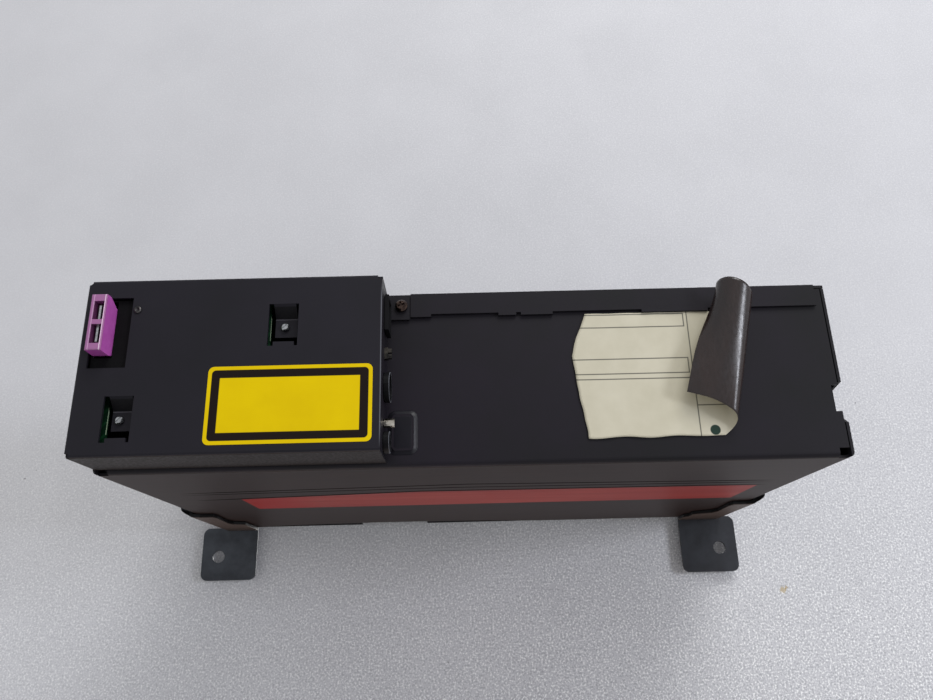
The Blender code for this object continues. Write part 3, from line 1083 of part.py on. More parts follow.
def carriage():
    thick = FRAME_SHEET
    half = CARRIAGE_HALF_DEPTH
    plate = rounded(CARRIAGE_LEFT, -half, CARRIAGE_RIGHT, half, thick, 2)
    shaft = circle((SPINDLE_X, 0), TURNTABLE_SHAFT + 2 * CLEARANCE, 16)
    slot = [(SLED_LEFT - CLEARANCE, -SLED_SLOT_HALF), (SLED_RIGHT + SLED_TRAVEL, -SLED_SLOT_HALF),
            (SLED_RIGHT + SLED_TRAVEL, SLED_SLOT_HALF), (SLED_LEFT - CLEARANCE, SLED_SLOT_HALF)]
    piece = place("lift_carriage", flat([plate, shaft, slot], "xy", CARRIAGE_PLATE_LOW, thick), (ZINC, 0.35, 1))
    for side in (-1, 1):
        y = side * (half - thick / 2)
        add(piece, block((CARRIAGE_LEFT + thick, y - thick / 2, CARRIAGE_FLANGE_LOW), (CARRIAGE_RIGHT - thick, y + thick / 2, CARRIAGE_PLATE_TOP - OVERLAP)))
        reach = CAM_Y + FRAME_SHEET + CAM_GAP - half + thick / 2
        for x in (REAR_PINS_X if side > 0 else (FRONT_PIN_X,)):
            start = half - thick / 2 if side > 0 else -half + thick / 2 - reach
            add(piece, rod((x, start, PIN_Z), reach, PIN_RADIUS, "y", 16))
        inner, outer = sorted((side * CLAMP_POST_INNER, side * CLAMP_POST_OUTER))
        radius = CLAMP_TRUNNION + 2 * CLEARANCE
        add(piece, block((CLAMP_AXIS_X - 2 * radius, inner, CARRIAGE_PLATE_LOW + OVERLAP), (CLAMP_AXIS_X + radius, outer, CLAMP_AXIS_Z + radius)))
        cut(piece, rod((CLAMP_AXIS_X, inner - OVERRUN / 10, CLAMP_AXIS_Z), outer - inner + OVERRUN / 5, CLAMP_TRUNNION + CLEARANCE, "y", 12))
    lugs = [(SLED_LEFT - 2 * CLEARANCE - ROD_LUG_WIDTH / 2, y) for y in (-ROD_Y, ROD_Y)]
    far = SLED_RIGHT + SLED_TRAVEL + CLEARANCE + ROD_LUG_WIDTH / 2
    lugs += [(far, -ROD_Y), (far, ROD_Y), (far, SCREW_Y)]
    for x, y in lugs:
        add(piece, block((x - ROD_LUG_WIDTH / 2, y - ROD_LUG_HALF, ROD_Z - ROD_LUG_DROP), (x + ROD_LUG_WIDTH / 2, y + ROD_LUG_HALF, CARRIAGE_PLATE_LOW + OVERLAP)))
    for y, radius in ((-ROD_Y, ROD_RADIUS), (ROD_Y, ROD_RADIUS), (SCREW_Y, SCREW_RADIUS)):
        cut(piece, rod((SLED_LEFT - OVERRUN * 2, y, ROD_Z), SLED_RIGHT + SLED_TRAVEL - SLED_LEFT + 4 * OVERRUN, radius + CLEARANCE, "x", 12))


def drive():
    """Spindle motor, turntable, pickup sled, rods, lead screw and sled motor under the carriage plate."""
    top = CARRIAGE_PLATE_LOW - CLEARANCE
    place("spindle_motor", rod((SPINDLE_X, 0, DRIVE_LOW), top - DRIVE_LOW, SPINDLE_MOTOR_RADIUS, "z", 32), (ZINC, 0.3, 1))
    profile = [(0, TURNTABLE_HUB_TOP), (TURNTABLE_HUB_RADIUS * screw_crown_share, TURNTABLE_HUB_TOP), (TURNTABLE_HUB_RADIUS, TURNTABLE_TOP),
               (TURNTABLE_RADIUS, TURNTABLE_TOP), (TURNTABLE_RADIUS, TURNTABLE_LOW), (TURNTABLE_SHAFT, TURNTABLE_LOW),
               (TURNTABLE_SHAFT, top + CLEARANCE), (0, top + CLEARANCE)]
    turned("turntable", profile, "z", (SPINDLE_X, 0, 0), (BLACK_PLASTIC, 0.4, 0), 32)
    sled = place("pickup_sled", block((SLED_LEFT, SLED_FRONT, SLED_LOW), (SLED_RIGHT, SLED_BACK, top)), (BLACK_PLASTIC, 0.4, 0))
    lens_x = SLED_LEFT + LENS_OFFSET
    add(sled, rod((lens_x, 0, top - OVERLAP), LENS_TOP - top + OVERLAP, LENS_RADIUS, "z", 20))
    for y, radius in ((-ROD_Y, ROD_RADIUS), (ROD_Y, ROD_RADIUS), (SCREW_Y, SCREW_RADIUS)):
        cut(sled, rod((SLED_LEFT - OVERRUN, y, ROD_Z), SLED_RIGHT - SLED_LEFT + 2 * OVERRUN, radius + CLEARANCE, "x", 12))
    start = SLED_LEFT - 2 * CLEARANCE - ROD_LUG_WIDTH
    length = SLED_RIGHT + SLED_TRAVEL + CLEARANCE + ROD_LUG_WIDTH - start
    for name, y in (("sled_rod_1", -ROD_Y), ("sled_rod_2", ROD_Y)):
        place(name, rod((start, y, ROD_Z), length, ROD_RADIUS, "x", 12), (ZINC, 0.2, 1))
    place("lead_screw", rod((start, SCREW_Y, ROD_Z), length, SCREW_RADIUS, "x", 12), (ZINC, 0.3, 1), (start, SCREW_Y, ROD_Z))
    motor = place("sled_motor", block((start - CLEARANCE - SLED_MOTOR_LENGTH, SCREW_Y - SLED_MOTOR_WIDTH / 2, SLED_LOW),
                                      (start - CLEARANCE, SCREW_Y + SLED_MOTOR_WIDTH / 2, top)), (ZINC, 0.3, 1))
    soften(motor, CLEARANCE * 3, 2)


def clamp():
    low, thick = CLAMP_ARM_LOW, CLAMP_ARM_SHEET
    nose = SPINDLE_X - CLAMP_ARM_NOSE
    outline = [(CLAMP_AXIS_X, CLAMP_ARM_HALF), (nose + CLAMP_ARM_NOSE, CLAMP_ARM_HALF)] + arc((SPINDLE_X, 0), CLAMP_ARM_HALF, 110, 250, 8)
    outline += [(nose + CLAMP_ARM_NOSE, -CLAMP_ARM_HALF), (CLAMP_AXIS_X, -CLAMP_ARM_HALF)]
    hole = circle((SPINDLE_X, 0), CLAMPER_STEM + CLEARANCE * 1.5, 20)
    pivot = (CLAMP_AXIS_X, 0, CLAMP_AXIS_Z)
    arm = place("clamp_arm", flat([outline, hole], "xy", low, thick), (ZINC, 0.35, 1), pivot)
    barrel = CLAMP_POST_INNER - CLEARANCE
    add(arm, rod((CLAMP_AXIS_X, -barrel, CLAMP_AXIS_Z), 2 * barrel, CLAMP_BARREL, "y", 16))
    pin = CLAMP_POST_OUTER - CLEARANCE
    add(arm, rod((CLAMP_AXIS_X, -pin, CLAMP_AXIS_Z), 2 * pin, CLAMP_TRUNNION, "y", 12))
    rim = CLAMPER_LOW + CLAMPER_FLANGE
    head = low + thick + CLEARANCE
    profile = [(0, head + CLAMPER_HEAD), (CLAMPER_HEAD_RADIUS, head + CLAMPER_HEAD), (CLAMPER_HEAD_RADIUS, head), (CLAMPER_STEM, head), (CLAMPER_STEM, rim),
               (CLAMPER_RADIUS, rim), (CLAMPER_RADIUS, CLAMPER_LOW), (0, CLAMPER_LOW)]
    turned("clamper", profile, "z", (SPINDLE_X, 0, 0), (BLACK_PLASTIC, 0.4, 0), 28)


def cam_slide():
    """One bent slide: a cam plate behind each frame wall, joined by a strip under the carriage, and a rack to the left."""
    low, high = STRIP_LOW, CAM_HIGH
    rise = LIFT_TRAVEL
    half = SLOT_HALF
    left = REAR_PINS_X[0] - rise - CAM_MARGIN
    right = REAR_PINS_X[1] + CAM_MARGIN
    rack_left = GEAR_X - rise - CAM_MARGIN
    pitch = math.pi * GEAR_MODULE
    rack_top = RACK_Z + RACK_BODY
    root = RACK_Z + GEAR_MODULE * tooth_root_share
    tip = RACK_Z - GEAR_MODULE * tooth_tip_share
    plate = [(right, low), (right, high), (left, high), (left, rack_top), (rack_left, rack_top), (rack_left, root)]
    steps = int((rise + CAM_MARGIN + pitch) / pitch)
    for step in range(-steps, 2):
        middle = GEAR_X + (step + 0.5) * pitch
        if middle - pitch / 2 > rack_left:
            for x, z in ((-tooth_base_share, root), (-tooth_top_share, tip), (tooth_top_share, tip), (tooth_base_share, root)):
                plate.append((middle + pitch * x, z))
    plate += [(left, root), (left, low)]
    slots = [slot_outline((x - rise, PIN_Z + rise), (x, PIN_Z), half) for x in REAR_PINS_X]
    slide = place("cam_slide", flat([plate] + slots, "xz", CAM_Y, FRAME_SHEET), (ZINC, 0.35, 1))
    front_left = FRONT_PIN_X - rise - CAM_MARGIN
    front_right = FRONT_PIN_X + CAM_MARGIN
    front = [(front_left, low), (front_right, low), (front_right, high), (front_left, high)]
    add(slide, flat([front, slot_outline((FRONT_PIN_X - rise, PIN_Z + rise), (FRONT_PIN_X, PIN_Z), half)], "xz", -CAM_Y - FRAME_SHEET, FRAME_SHEET))
    reach = CAM_Y + FRAME_SHEET / 2
    add(slide, block((STRIP_LEFT, -reach, low + OVERLAP), (STRIP_LEFT + STRIP_WIDTH, reach, low + STRIP_THICKNESS)))


def lift_gears():
    base = CAM_Y - CLEARANCE
    thick = FRAME_SHEET + 2 * CLEARANCE
    centre = (GEAR_X, GEAR_Z)
    bore = circle(centre, GEAR_SHAFT_RADIUS + CLEARANCE, 16)
    pinion_phase = 90
    gear = place("lift_gear", flat([gear_outline(centre, PINION_TEETH, pinion_phase), bore], "xz", base, thick + OVERLAP), (GREY_PLASTIC, 0.4, 0), (GEAR_X, base, GEAR_Z))
    turn = math.degrees(math.atan2(LIFT_MOTOR_Z - GEAR_Z, LIFT_MOTOR_X - GEAR_X))
    add(gear, flat([gear_outline(centre, WHEEL_TEETH, turn), bore], "xz", base + thick, WHEEL_THICKNESS))
    motor = (LIFT_MOTOR_X, LIFT_MOTOR_Z)
    half_tooth = 180 / MOTOR_TEETH
    shaft = STAND_WALL_Y - CLEARANCE
    pinion = place("motor_pinion", flat([gear_outline(motor, MOTOR_TEETH, turn + 180 + half_tooth)], "xz", base + thick, WHEEL_THICKNESS), (NICKEL, 0.3, 1), (LIFT_MOTOR_X, base, LIFT_MOTOR_Z))
    add(pinion, rod((LIFT_MOTOR_X, shaft, LIFT_MOTOR_Z), base + thick - shaft + WHEEL_THICKNESS + CLEARANCE, GEAR_SHAFT_RADIUS * screw_crown_share, "y", 12))
    place("lift_motor", rod((LIFT_MOTOR_X, shaft - CLEARANCE - LIFT_MOTOR_LENGTH, LIFT_MOTOR_Z), LIFT_MOTOR_LENGTH, LIFT_MOTOR_RADIUS, "y", 24), (ZINC, 0.3, 1))


def boards():
    outline = rounded(MAIN_BOARD_LEFT, MAIN_BOARD_FRONT, MAIN_BOARD_RIGHT, MAIN_BOARD_BACK, BOARD_THICKNESS, 1)
    top = MAIN_BOARD_Z + BOARD_THICKNESS
    place("main_board", flat([outline], "xy", MAIN_BOARD_Z, BOARD_THICKNESS), (BOARD_GREEN, 0.4, 0))
    half = CHIP_SIDE / 2
    place("control_chip", block((CHIP_X - half, CHIP_Y - half, top + CLEARANCE), (CHIP_X + half, CHIP_Y + half, top + CLEARANCE + CHIP_HEIGHT)), (BLACK_PLASTIC, 0.5, 0))
    place("filter_capacitor", rod((CAPACITOR_X, CAPACITOR_Y, top + CLEARANCE + CAPACITOR_RADIUS), CAPACITOR_LENGTH, CAPACITOR_RADIUS, "y", 20), (ZINC, 0.3, 0.5))


def peeled_label():
    """Paper label on the rear wall: left of a slanted fold line it lies flat, right of it the paper rolls back over itself."""
    base = REAR + CLEARANCE
    fold_low, fold_high = Vector((LABEL_FOLD_LOW, LABEL_LOW)), Vector((LABEL_FOLD_HIGH, LABEL_HIGH))
    line = (fold_high - fold_low).normalized()
    across = Vector((line.y, -line.x))
    turn = math.radians(LABEL_ROLL_DEGREES)
    vertices, faces = [], []
    for row in range(LABEL_ROWS + 1):
        share = row / LABEL_ROWS
        fold = fold_low.lerp(fold_high, share)
        left = LABEL_LEFT - LABEL_BOW * math.sin(math.pi * share)
        for column in range(LABEL_FLAT_COLUMNS):
            x = left + (fold.x - left) * column / LABEL_FLAT_COLUMNS
            vertices.append((x, base, fold.y))
        flap = LABEL_FLAP_LOW + (LABEL_FLAP_HIGH - LABEL_FLAP_LOW) * share
        for column in range(LABEL_ROLL_COLUMNS + 1):
            past = flap * column / LABEL_ROLL_COLUMNS
            corner = 1 - (1 - min(past / LABEL_CORNER_LENGTH, 1)) ** 2
            point = fold + Vector((past, -LABEL_CORNER * corner * share ** 2)) - fold_low
            along_line, off_line = point.dot(line), point.dot(across)
            radius = LABEL_ROLL_LOW + (LABEL_ROLL_HIGH - LABEL_ROLL_LOW) * share
            angle = min(off_line / radius, turn)
            rest = off_line - radius * angle
            side = radius * math.sin(angle) + rest * math.cos(angle)
            rise = radius * (1 - math.cos(angle)) + rest * math.sin(angle)
            foot = fold_low + line * along_line + across * side
            vertices.append((foot.x, base + rise, foot.y))
    width = LABEL_FLAT_COLUMNS + LABEL_ROLL_COLUMNS + 1
    for row in range(LABEL_ROWS):
        for column in range(width - 1):
            first = row * width + column
            faces.append((first, first + width, first + width + 1, first + 1))
    mesh = bpy.data.meshes.new("peeled_label")
    mesh.from_pydata(vertices, [], faces)
    mesh.shade_smooth()
    label = place("peeled_label", mesh, (PAPER, 0.7, 0))
    paper = label.modifiers.new("paper", "SOLIDIFY")
    paper.thickness = LABEL_THICKNESS
    paper.offset = 1


top_cover()
bottom_cover()
front_bezel()
eject_button()
front_board()
interface_cover()
interface_frame()
interface_board()
tongue_screws()
sockets(connector_panel())
pan_screw("foot_screw", (FOOT_SCREW_X, BOX_FLOOR + SHEET + CLEARANCE, FOOT_SCREW_Z), along("y"), FOOT_SCREW_RADIUS, FOOT_SCREW_HEAD,
          SHANK_RADIUS, SHANK_LENGTH, (RUST, 0.5, 0.8))
fuse()
fuse_holder()
bracket("bracket_left", -1, TAB_LEFT)
bracket("bracket_right", 1, TAB_RIGHT)
angle_dials()
magazine()
trays()
mechanism_frame()
dampers()
carriage()
drive()
clamp()
cam_slide()
lift_gears()
boards()
peeled_label()
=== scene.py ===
"""A car disc changer that stands on its front edge: finishes, trim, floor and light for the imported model."""
import math

import bmesh
import bpy
import numpy as np
from mathutils import Matrix, Vector


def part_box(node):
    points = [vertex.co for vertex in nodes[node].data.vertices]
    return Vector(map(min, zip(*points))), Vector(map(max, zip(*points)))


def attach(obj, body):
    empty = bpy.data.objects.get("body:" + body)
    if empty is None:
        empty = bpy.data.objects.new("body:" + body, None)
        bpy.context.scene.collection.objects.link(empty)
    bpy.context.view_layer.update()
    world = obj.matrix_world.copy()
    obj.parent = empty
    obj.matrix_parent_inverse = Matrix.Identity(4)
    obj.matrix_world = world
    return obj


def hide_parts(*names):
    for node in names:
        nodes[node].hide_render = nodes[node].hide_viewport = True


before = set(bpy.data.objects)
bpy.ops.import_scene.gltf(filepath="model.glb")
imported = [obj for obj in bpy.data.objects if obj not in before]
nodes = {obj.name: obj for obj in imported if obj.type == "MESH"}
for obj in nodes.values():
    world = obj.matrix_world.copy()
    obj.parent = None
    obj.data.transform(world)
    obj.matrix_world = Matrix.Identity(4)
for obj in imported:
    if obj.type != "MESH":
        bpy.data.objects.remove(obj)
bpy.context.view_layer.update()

MM = 0.001

# Sizes and places are in mm in the frame of the model: X to the right, Y to the rear, Z up.
# A region gives one to three axes a span and the width of its soft edge: (low, high, blur).

# Faces and edges with another tone than the rest of their piece.
TOP_FACE = {"Z": (62.5, 70, 0.05)}
# The bezel's top edge: darker, as painted shade.
BEZEL_TOP_SHADE = {"Z": (62.0, 64, 0.05)}
BRACKET_ON_CASE = {"Y": (-75.5, 5, 0.4), "Z": (64.1, 64.5, 0.05)}
# The bracket's cut edge: its own dark edge, with painted shade.
BRACKET_CUT_EDGE_SHADE = {"Y": (-75.5, 5, 0.4), "Z": (62, 64.1, 0.05)}
BOX_SIDE = {"Z": (60.85, 62, 0.05)}
# The box's open right edge: a painted highlight.
BOX_EDGE_HIGHLIGHT = {"X": (-29.7, -29.2, 0.1), "Y": (97.3, 98.5, 0.05), "Z": (7, 57, 3)}

# The red band lies between a bow and a foot, each of them the lowest of some lines of (slope, rise).
BAND_BOW = ((0.1164, 28.6), (-0.0270, 25.6))
BAND_FOOT = ((-0.0038, -10.5),)
BAND_SPAN = {"X": (-94.5, 114, 0.3)}
BAND_TIP = {"X": (-100, -72, 8)}
BAND_TAIL = {"X": (62, 120, 18)}

# Each hair line follows its own bow, and has a half width.
HAIR_LINES = (
    (((0.1164, 30.1), (-0.0270, 27.1)), 0.7),
    (((0.035, 34.9), (-0.040, 34.4)), 0.5),
    (((0.060, 41.6), (-0.065, 41.3)), 0.6))
HAIR_SPAN = {"X": (-106, 110, 8)}

# The two tongues bent into the box: left, right and low end of each, and the lengths of slope and bend.
# The slope gets painted shade and the bend a painted highlight.
TONGUES = ((-66.6, -56.8, 10.9), (-117.1, -107.7, 41.4))
TONGUE_SLOPE = 4
TONGUE_BEND_HIGHLIGHT = 0.35
TONGUE_DEPTH = (80, 96.9, 0.1)

# The sawn edges of the circuit board in the windows: the left wall of each hole, its low and high end, and
# the span of Y that gets a painted highlight, where light would fall on it.
BOARD_CUTS = ((-66.7, 13.5, 22.3), (-117.1, 44.0, 52.8))
BOARD_CUT_HIGHLIGHT = (93.05, 93.55, 0.06)

# The pitch of the tracks and pads on the circuit boards.
BOARD_GRID = 5.08

# The round sockets: height and radius of each collar, and the depth at which both have their axis. A thin
# painted highlight runs round the end of each collar.
SOCKET_COLLARS = ((37.5, 5.1), (56.1, 3.6))
SOCKET_Y = 87.1
COLLAR_HIGHLIGHT_END = {"X": (-27.45, -27.2, 0.04)}
COLLAR_HIGHLIGHT_WIDTH = 0.3

# The blank vinyl label. Its rim profile gives insets in mm, and rises as a share of the thickness.
PANEL = {"left": -84.7, "right": -32.0, "low": 32.4, "high": 58.0, "radius": 1.9}
PANEL_THICKNESS = 0.12
PANEL_RIM = 1.2
PANEL_BLUR = 0.08
PANEL_FIELD = {"X": (-80.8, -36.0, PANEL_BLUR), "Z": (36.3, 54.2, PANEL_BLUR)}
PANEL_PROFILE = ((0.5, 0.0), (0.0, 0.0), (0.0, 0.6), (0.03, 1.0), (4.0, 1.0), (9.0, 1.0))
GLUE = 0.01

# The paper label: its height, its slanted fold line, the flap past it, and the two arcs of its roll.
LABEL = {
    "low": 9.2, "high": 54.3, "thickness": 0.14, "gap": 0.02,
    "fold_low": 91.9, "fold_high": 85.0, "flap_low": 30.0, "flap_high": 25.8,
    "roll_low": 6.2, "roll_high": 3.0, "wide_low": 6.1, "wide_high": 70.0,
    "lean": 4.0, "corner": 8.0, "corner_length": 20.0,
    "tear": 0.12, "fray": 0.10, "ripple": 0.10, "lift": 0.20, "wave": 2.4}

# How far the tight arc turns in degrees at the low end, how much further at the high end, and how late the
# wide arc opens on the way up.
LABEL_TURN = 150
LABEL_TURN_MORE = 25
LABEL_OPENING = 1.8

# The torn left edge of the label as pairs of height and left end.
LABEL_EDGE = (
    (9.2, 40.7), (13.0, 39.2), (18.2, 37.0), (25.0, 35.2), (30.0, 35.6), (34.0, 36.1), (44.0, 37.4),
    (51.5, 38.6), (54.3, 39.0))

# The ruled form and the ink dot on the label: each line as a span across and a span up.
LABEL_ON_WALL = {"Y": (70, 78.9, 0.1)}
FORM_BLUR = 0.09
FORM_LINES = (
    ((38, 75.7), (9.6, 10.0)), ((38, 75.7), (14.4, 14.8)), ((75.3, 75.7), (9.6, 14.8)),
    ((76.6, 77.0), (9.2, 54.6)), ((34, 75.7), (26.2, 26.6)), ((34, 75.7), (31.6, 32.0)),
    ((75.3, 75.7), (26.2, 32.0)), ((34, 76.8), (33.5, 33.9)), ((76.8, 90), (43.4, 43.8)))
INK_DOT = (81.8, 78.05, 52.4)
INK_DOT_RADIUS = 1.75

# The fuse body: its outline, its two wells, and its foot as pairs of height and depth.
FUSE = {
    "left": -122.75, "right": -117.65, "low": 8.55, "high": 27.65, "top": 103.68, "floor": 99.4,
    "well_x": (-121.7, -118.35), "wells": ((10.9, 17.3), (18.9, 25.4)), "edge": 0.3, "wall": 0.05}
FUSE_FOOT = ((8.55, 100.9), (10.9, 95.9), (11.6, 91.7), (26.05, 91.7), (27.65, 97.7))

# The pressed pad, with how far its shoulder reaches outside and inside the outline.
PAD = {"left": -27.7, "right": -20.2, "low": 44.4, "high": 57.0, "radius": 1.6}
PAD_FOOT = 77.52
PAD_RISE = 0.82
PAD_OUTSIDE = 1.4
PAD_INSIDE = 1.1

# The small screw beside the fuse: its place on the box, and its profile of radius and height.
SCREW_PLACE = (-110.0, 11.9)
SCREW_PROFILE = ((0, 0), (1.3, 0), (1.3, 0.25), (1.15, 0.5), (0.8, 0.6), (0.6, 0.5), (0.5, 0.15), (0, 0.12))

# The floor: its level, half its width, the size of its grain, and the spans over which the grain grows.
FLOOR_LEVEL = -81.6
FLOOR_HALF = 2500
FLOOR_GRAIN = 0.95
GRAIN_NEARER = (-50, 120)
GRAIN_RIGHTER = (-250, 50)

# The stain and the specks of the floor: X, Z, radius, strength, colour.
FLOOR_MARKS = (
    (158.7, 100.4, 1.5, 0.6, "#b59c5f"), (160.4, 99.2, 0.7, 0.7, "#a58a4a"),
    (-242.2, 32.9, 0.5, 0.7, "#55565a"), (-236.9, 28.6, 0.3, 0.6, "#6a6b70"),
    (-163.7, 81.3, 0.3, 0.6, "#6a6b70"), (-14.3, 130.7, 0.4, 0.6, "#77787c"),
    (214.9, 2.1, 0.35, 0.7, "#55565a"), (112.5, -175.3, 0.5, 0.6, "#6a6b70"))

# Lamps in metres and watts: name, place, power, width, colour.
LAMPS = (
    ("key", (0.45, 1.10, -1.30), 16.3, 0.9, "#ffffff"),
    ("window", (1.36, 1.19, -0.04), 9.8, 0.42, "#f1f5ff"),
    ("fill", (-0.20, -0.60, 1.70), 8.0, 1.0, "#ffe6d8"),
    ("front", (0.30, -1.50, -0.25), 9.0, 0.6, "#ffffff"))
LAMP_TARGET = (0, 0, 0.03)
ROOM_LIGHT = 0.485

# The camera in metres, fitted to the corners of the case in the photograph.
CAMERA_RIGHT = (0.99971, -0.00452, 0.023663)
CAMERA_DOWN = (-0.023817, -0.333231, 0.942544)
CAMERA_FORWARD = (0.003625, -0.942834, -0.333242)
CAMERA_PLACE = (-0.002667, 0.330336, 0.110892)
CAMERA_LENS = 29.4205
CAMERA_SENSOR = 36.0

COLOUR = "Base Color"
ROUGHNESS = "Roughness"
SPECULAR = "Specular IOR Level"


# Tools for finishes.

def linear(code):
    """Turns an sRGB hex code into linear red, green and blue with full alpha."""
    value = np.array([int(code[start:start + 2], 16) for start in (1, 3, 5)]) / 255
    value = np.where(value <= 0.04045, value / 12.92, ((value + 0.055) / 1.055) ** 2.4)
    return (*value.tolist(), 1.0)


def add(tree, kind, settings=None, sockets=None):
    """Adds one shader node, sets its settings, and fills its sockets with numbers, hex colours or links."""
    node = tree.nodes.new("ShaderNode" + kind)
    for name, value in (settings or {}).items():
        setattr(node, name, value)
    for name, value in (sockets or {}).items():
        if isinstance(value, bpy.types.Node):
            value = value.outputs[0]
        if isinstance(value, bpy.types.NodeSocket):
            tree.links.new(value, node.inputs[name])
        else:
            node.inputs[name].default_value = linear(value) if isinstance(value, str) else value
    return node


def combined(tree, operation, *values):
    """Joins several values in turn with one arithmetic operation."""
    total = values[0]
    for value in values[1:]:
        total = add(tree, "Math", {"operation": operation}, {0: total, 1: value}).outputs[0]
    return total


def product(tree, *values):
    """All the values multiplied. Of several masks this leaves what lies in every one of them."""
    return combined(tree, "MULTIPLY", *values)


def between(tree, value, low, high, blur):
    """One where value lies between low and high mm, zero outside, with edges blur mm wide: a rising ramp
    times a falling one."""
    up = add(tree, "MapRange", None, {
        "Value": value, "From Min": (low - blur) * MM, "From Max": (low + blur) * MM})
    down = add(tree, "MapRange", None, {
        "Value": value, "From Min": (high - blur) * MM, "From Max": (high + blur) * MM, "To Min": 1.0,
        "To Max": 0.0})
    return product(tree, up.outputs[0], down.outputs[0])


def within(tree, axes, region):
    """One inside the region and zero outside it."""
    return product(tree, *[between(tree, axes[axis], *span) for axis, span in region.items()])


def lowest(tree, x, lines):
    """The height over x of the lowest of some straight lines: slope times x, plus rise mm."""
    heights = [add(tree, "Math", {"operation": "MULTIPLY_ADD"}, {0: x, 1: slope, 2: rise * MM}).outputs[0]
               for slope, rise in lines]
    return combined(tree, "MINIMUM", *heights)


def above(tree, high, low, blur=0.15):
    """One where high is above low, zero where it is below, with an edge blur mm wide."""
    gap = combined(tree, "SUBTRACT", high, low)
    edge = add(tree, "MapRange", None, {"Value": gap, "From Min": -blur * MM, "From Max": blur * MM})
    return edge.outputs[0]


def reach(tree, place, point):
    """How far a place is from a point in mm. A coordinate of the point may be the place's own, which leaves
    that axis out of the measure."""
    middle = add(tree, "CombineXYZ", None, {
        axis: value * MM if isinstance(value, (int, float)) else value for axis, value in enumerate(point)})
    return add(tree, "VectorMath", {"operation": "DISTANCE"}, {0: place, 1: middle}).outputs["Value"]


def drifting(tree, place, dark, light, size, detail, roughness, spread):
    """A colour that drifts from dark to light over soft patches size mm wide: smooth noise, of which the
    values within spread of the middle are drawn out over the whole range."""
    cloud = add(tree, "TexNoise", None, {
        "Vector": place, "Scale": 1 / (size * MM), "Detail": detail, "Roughness": roughness})
    share = add(tree, "MapRange", None, {"Value": cloud, "From Min": 0.5 - spread, "From Max": 0.5 + spread})
    return add(tree, "Mix", {"data_type": "RGBA"}, {0: share, 6: dark, 7: light}).outputs[2]


def finish(name, dark, light, cloud, grain, depth, gloss, stretch=(1, 1, 1), **constants):
    """Starts a material. Its colour drifts from dark to light over patches of cloud mm, its roughness drifts
    between the two values of gloss, and grain mm wide stands depth mm high. stretch under one draws the
    pattern out along that axis, as rolling and brushing do. The other values go straight to the shader's
    sockets."""
    material = bpy.data.materials.new(name)
    material.use_nodes = True
    tree = material.node_tree
    tree.nodes.clear()
    shader = add(tree, "BsdfPrincipled")
    add(tree, "OutputMaterial", None, {"Surface": shader})
    place = add(tree, "TexCoord").outputs["Object"]
    drawn = add(tree, "Mapping", None, {"Vector": place, "Scale": stretch})
    tone = drifting(tree, drawn, dark, light, cloud, 4.0, 0.6, 0.15)
    grains = add(tree, "TexNoise", None, {"Vector": drawn, "Scale": 1 / (grain * MM), "Detail": 2.0})
    rough = add(tree, "MapRange", None, {
        "Value": grains, "From Min": 0.3, "From Max": 0.7, "To Min": gloss[0], "To Max": gloss[1]})
    raised = add(tree, "Bump", None, {"Height": grains, "Distance": depth * MM})
    for socket, value in ((COLOUR, tone), (ROUGHNESS, rough.outputs[0]), ("Normal", raised.outputs[0])):
        tree.links.new(value, shader.inputs[socket])
    for socket, value in constants.items():
        shader.inputs[socket.replace("_", " ")].default_value = value
    return material


def parts_of(material):
    """The tree and shader of a material made by finish, the place in metres on the piece, and its three
    axes."""
    tree = material.node_tree
    place = tree.nodes["Texture Coordinate"].outputs["Object"]
    return tree, tree.nodes["Principled BSDF"], place, add(tree, "SeparateXYZ", None, {0: place}).outputs


def cover(tree, shader, mask, value, socket=COLOUR):
    """Lays a hex colour, or a number, over what the shader's socket has, as far as the mask says."""
    target = shader.inputs[socket]
    under = target.links[0].from_socket if target.is_linked else target.default_value
    kind, first, second, out = ("RGBA", 6, 7, 2) if socket == COLOUR else ("FLOAT", 2, 3, 0)
    laid = add(tree, "Mix", {"data_type": kind}, {0: mask, first: under, second: value}).outputs[out]
    tree.links.new(laid, target)


def specks(material, size, share, colour):
    """Small specks of dust or of flaked film, where cells of size mm have a random value under the share."""
    tree, shader, place, _ = parts_of(material)
    cells = add(tree, "TexVoronoi", {"feature": "F1"}, {"Vector": place, "Scale": 1 / (size * MM)})
    luck = add(tree, "SeparateColor", None, {0: cells.outputs["Color"]}).outputs[0]
    near = combined(tree, "LESS_THAN", cells.outputs["Distance"], 0.07)
    cover(tree, shader, product(tree, near, combined(tree, "LESS_THAN", luck, share)), colour)


# Finishes.

def powder_coated_steel(name, dark, light):
    """Powder coated sheet: nearly black with a violet cast, fine orange peel, soft low sheen and stray
    dust."""
    material = finish(name, dark, light, 45, 0.9, 0.005, (0.42, 0.58), Specular_IOR_Level=0.16)
    specks(material, 9, 0.10, "#8d8a86")
    return material


def raised_box_steel():
    """The coating of the raised box, a little greyer than the rest as painted sheen, with a painted highlight:
    a thin pale line along its open right edge. Its side is darker and browner, the slopes of its two tongues
    get painted shade, and their bends a painted highlight."""
    # A little greyer than the rest of the case: painted sheen.
    material = powder_coated_steel("powder coated steel, painted_sheen", "#1c1b20", "#201e25")
    tree, shader, _, axes = parts_of(material)
    # Painted highlight: a thin pale line along the open right edge.
    cover(tree, shader, within(tree, axes, BOX_EDGE_HIGHLIGHT), "#5f6067")
    cover(tree, shader, within(tree, axes, BOX_SIDE), "#150f0e")
    for left, right, low in TONGUES:
        tongue = {"X": (left, right, 0.02), "Y": TONGUE_DEPTH}
        bend = low + TONGUE_SLOPE
        # Painted shade on the slope of each tongue, and a painted highlight along its bend.
        cover(tree, shader, within(tree, axes, {**tongue, "Z": (low, bend, 0.2)}), "#0b0a0d")
        cover(tree, shader, within(tree, axes, {**tongue, "Z": (bend, bend + TONGUE_BEND_HIGHLIGHT, 0.08)}), "#46444a")
    return material


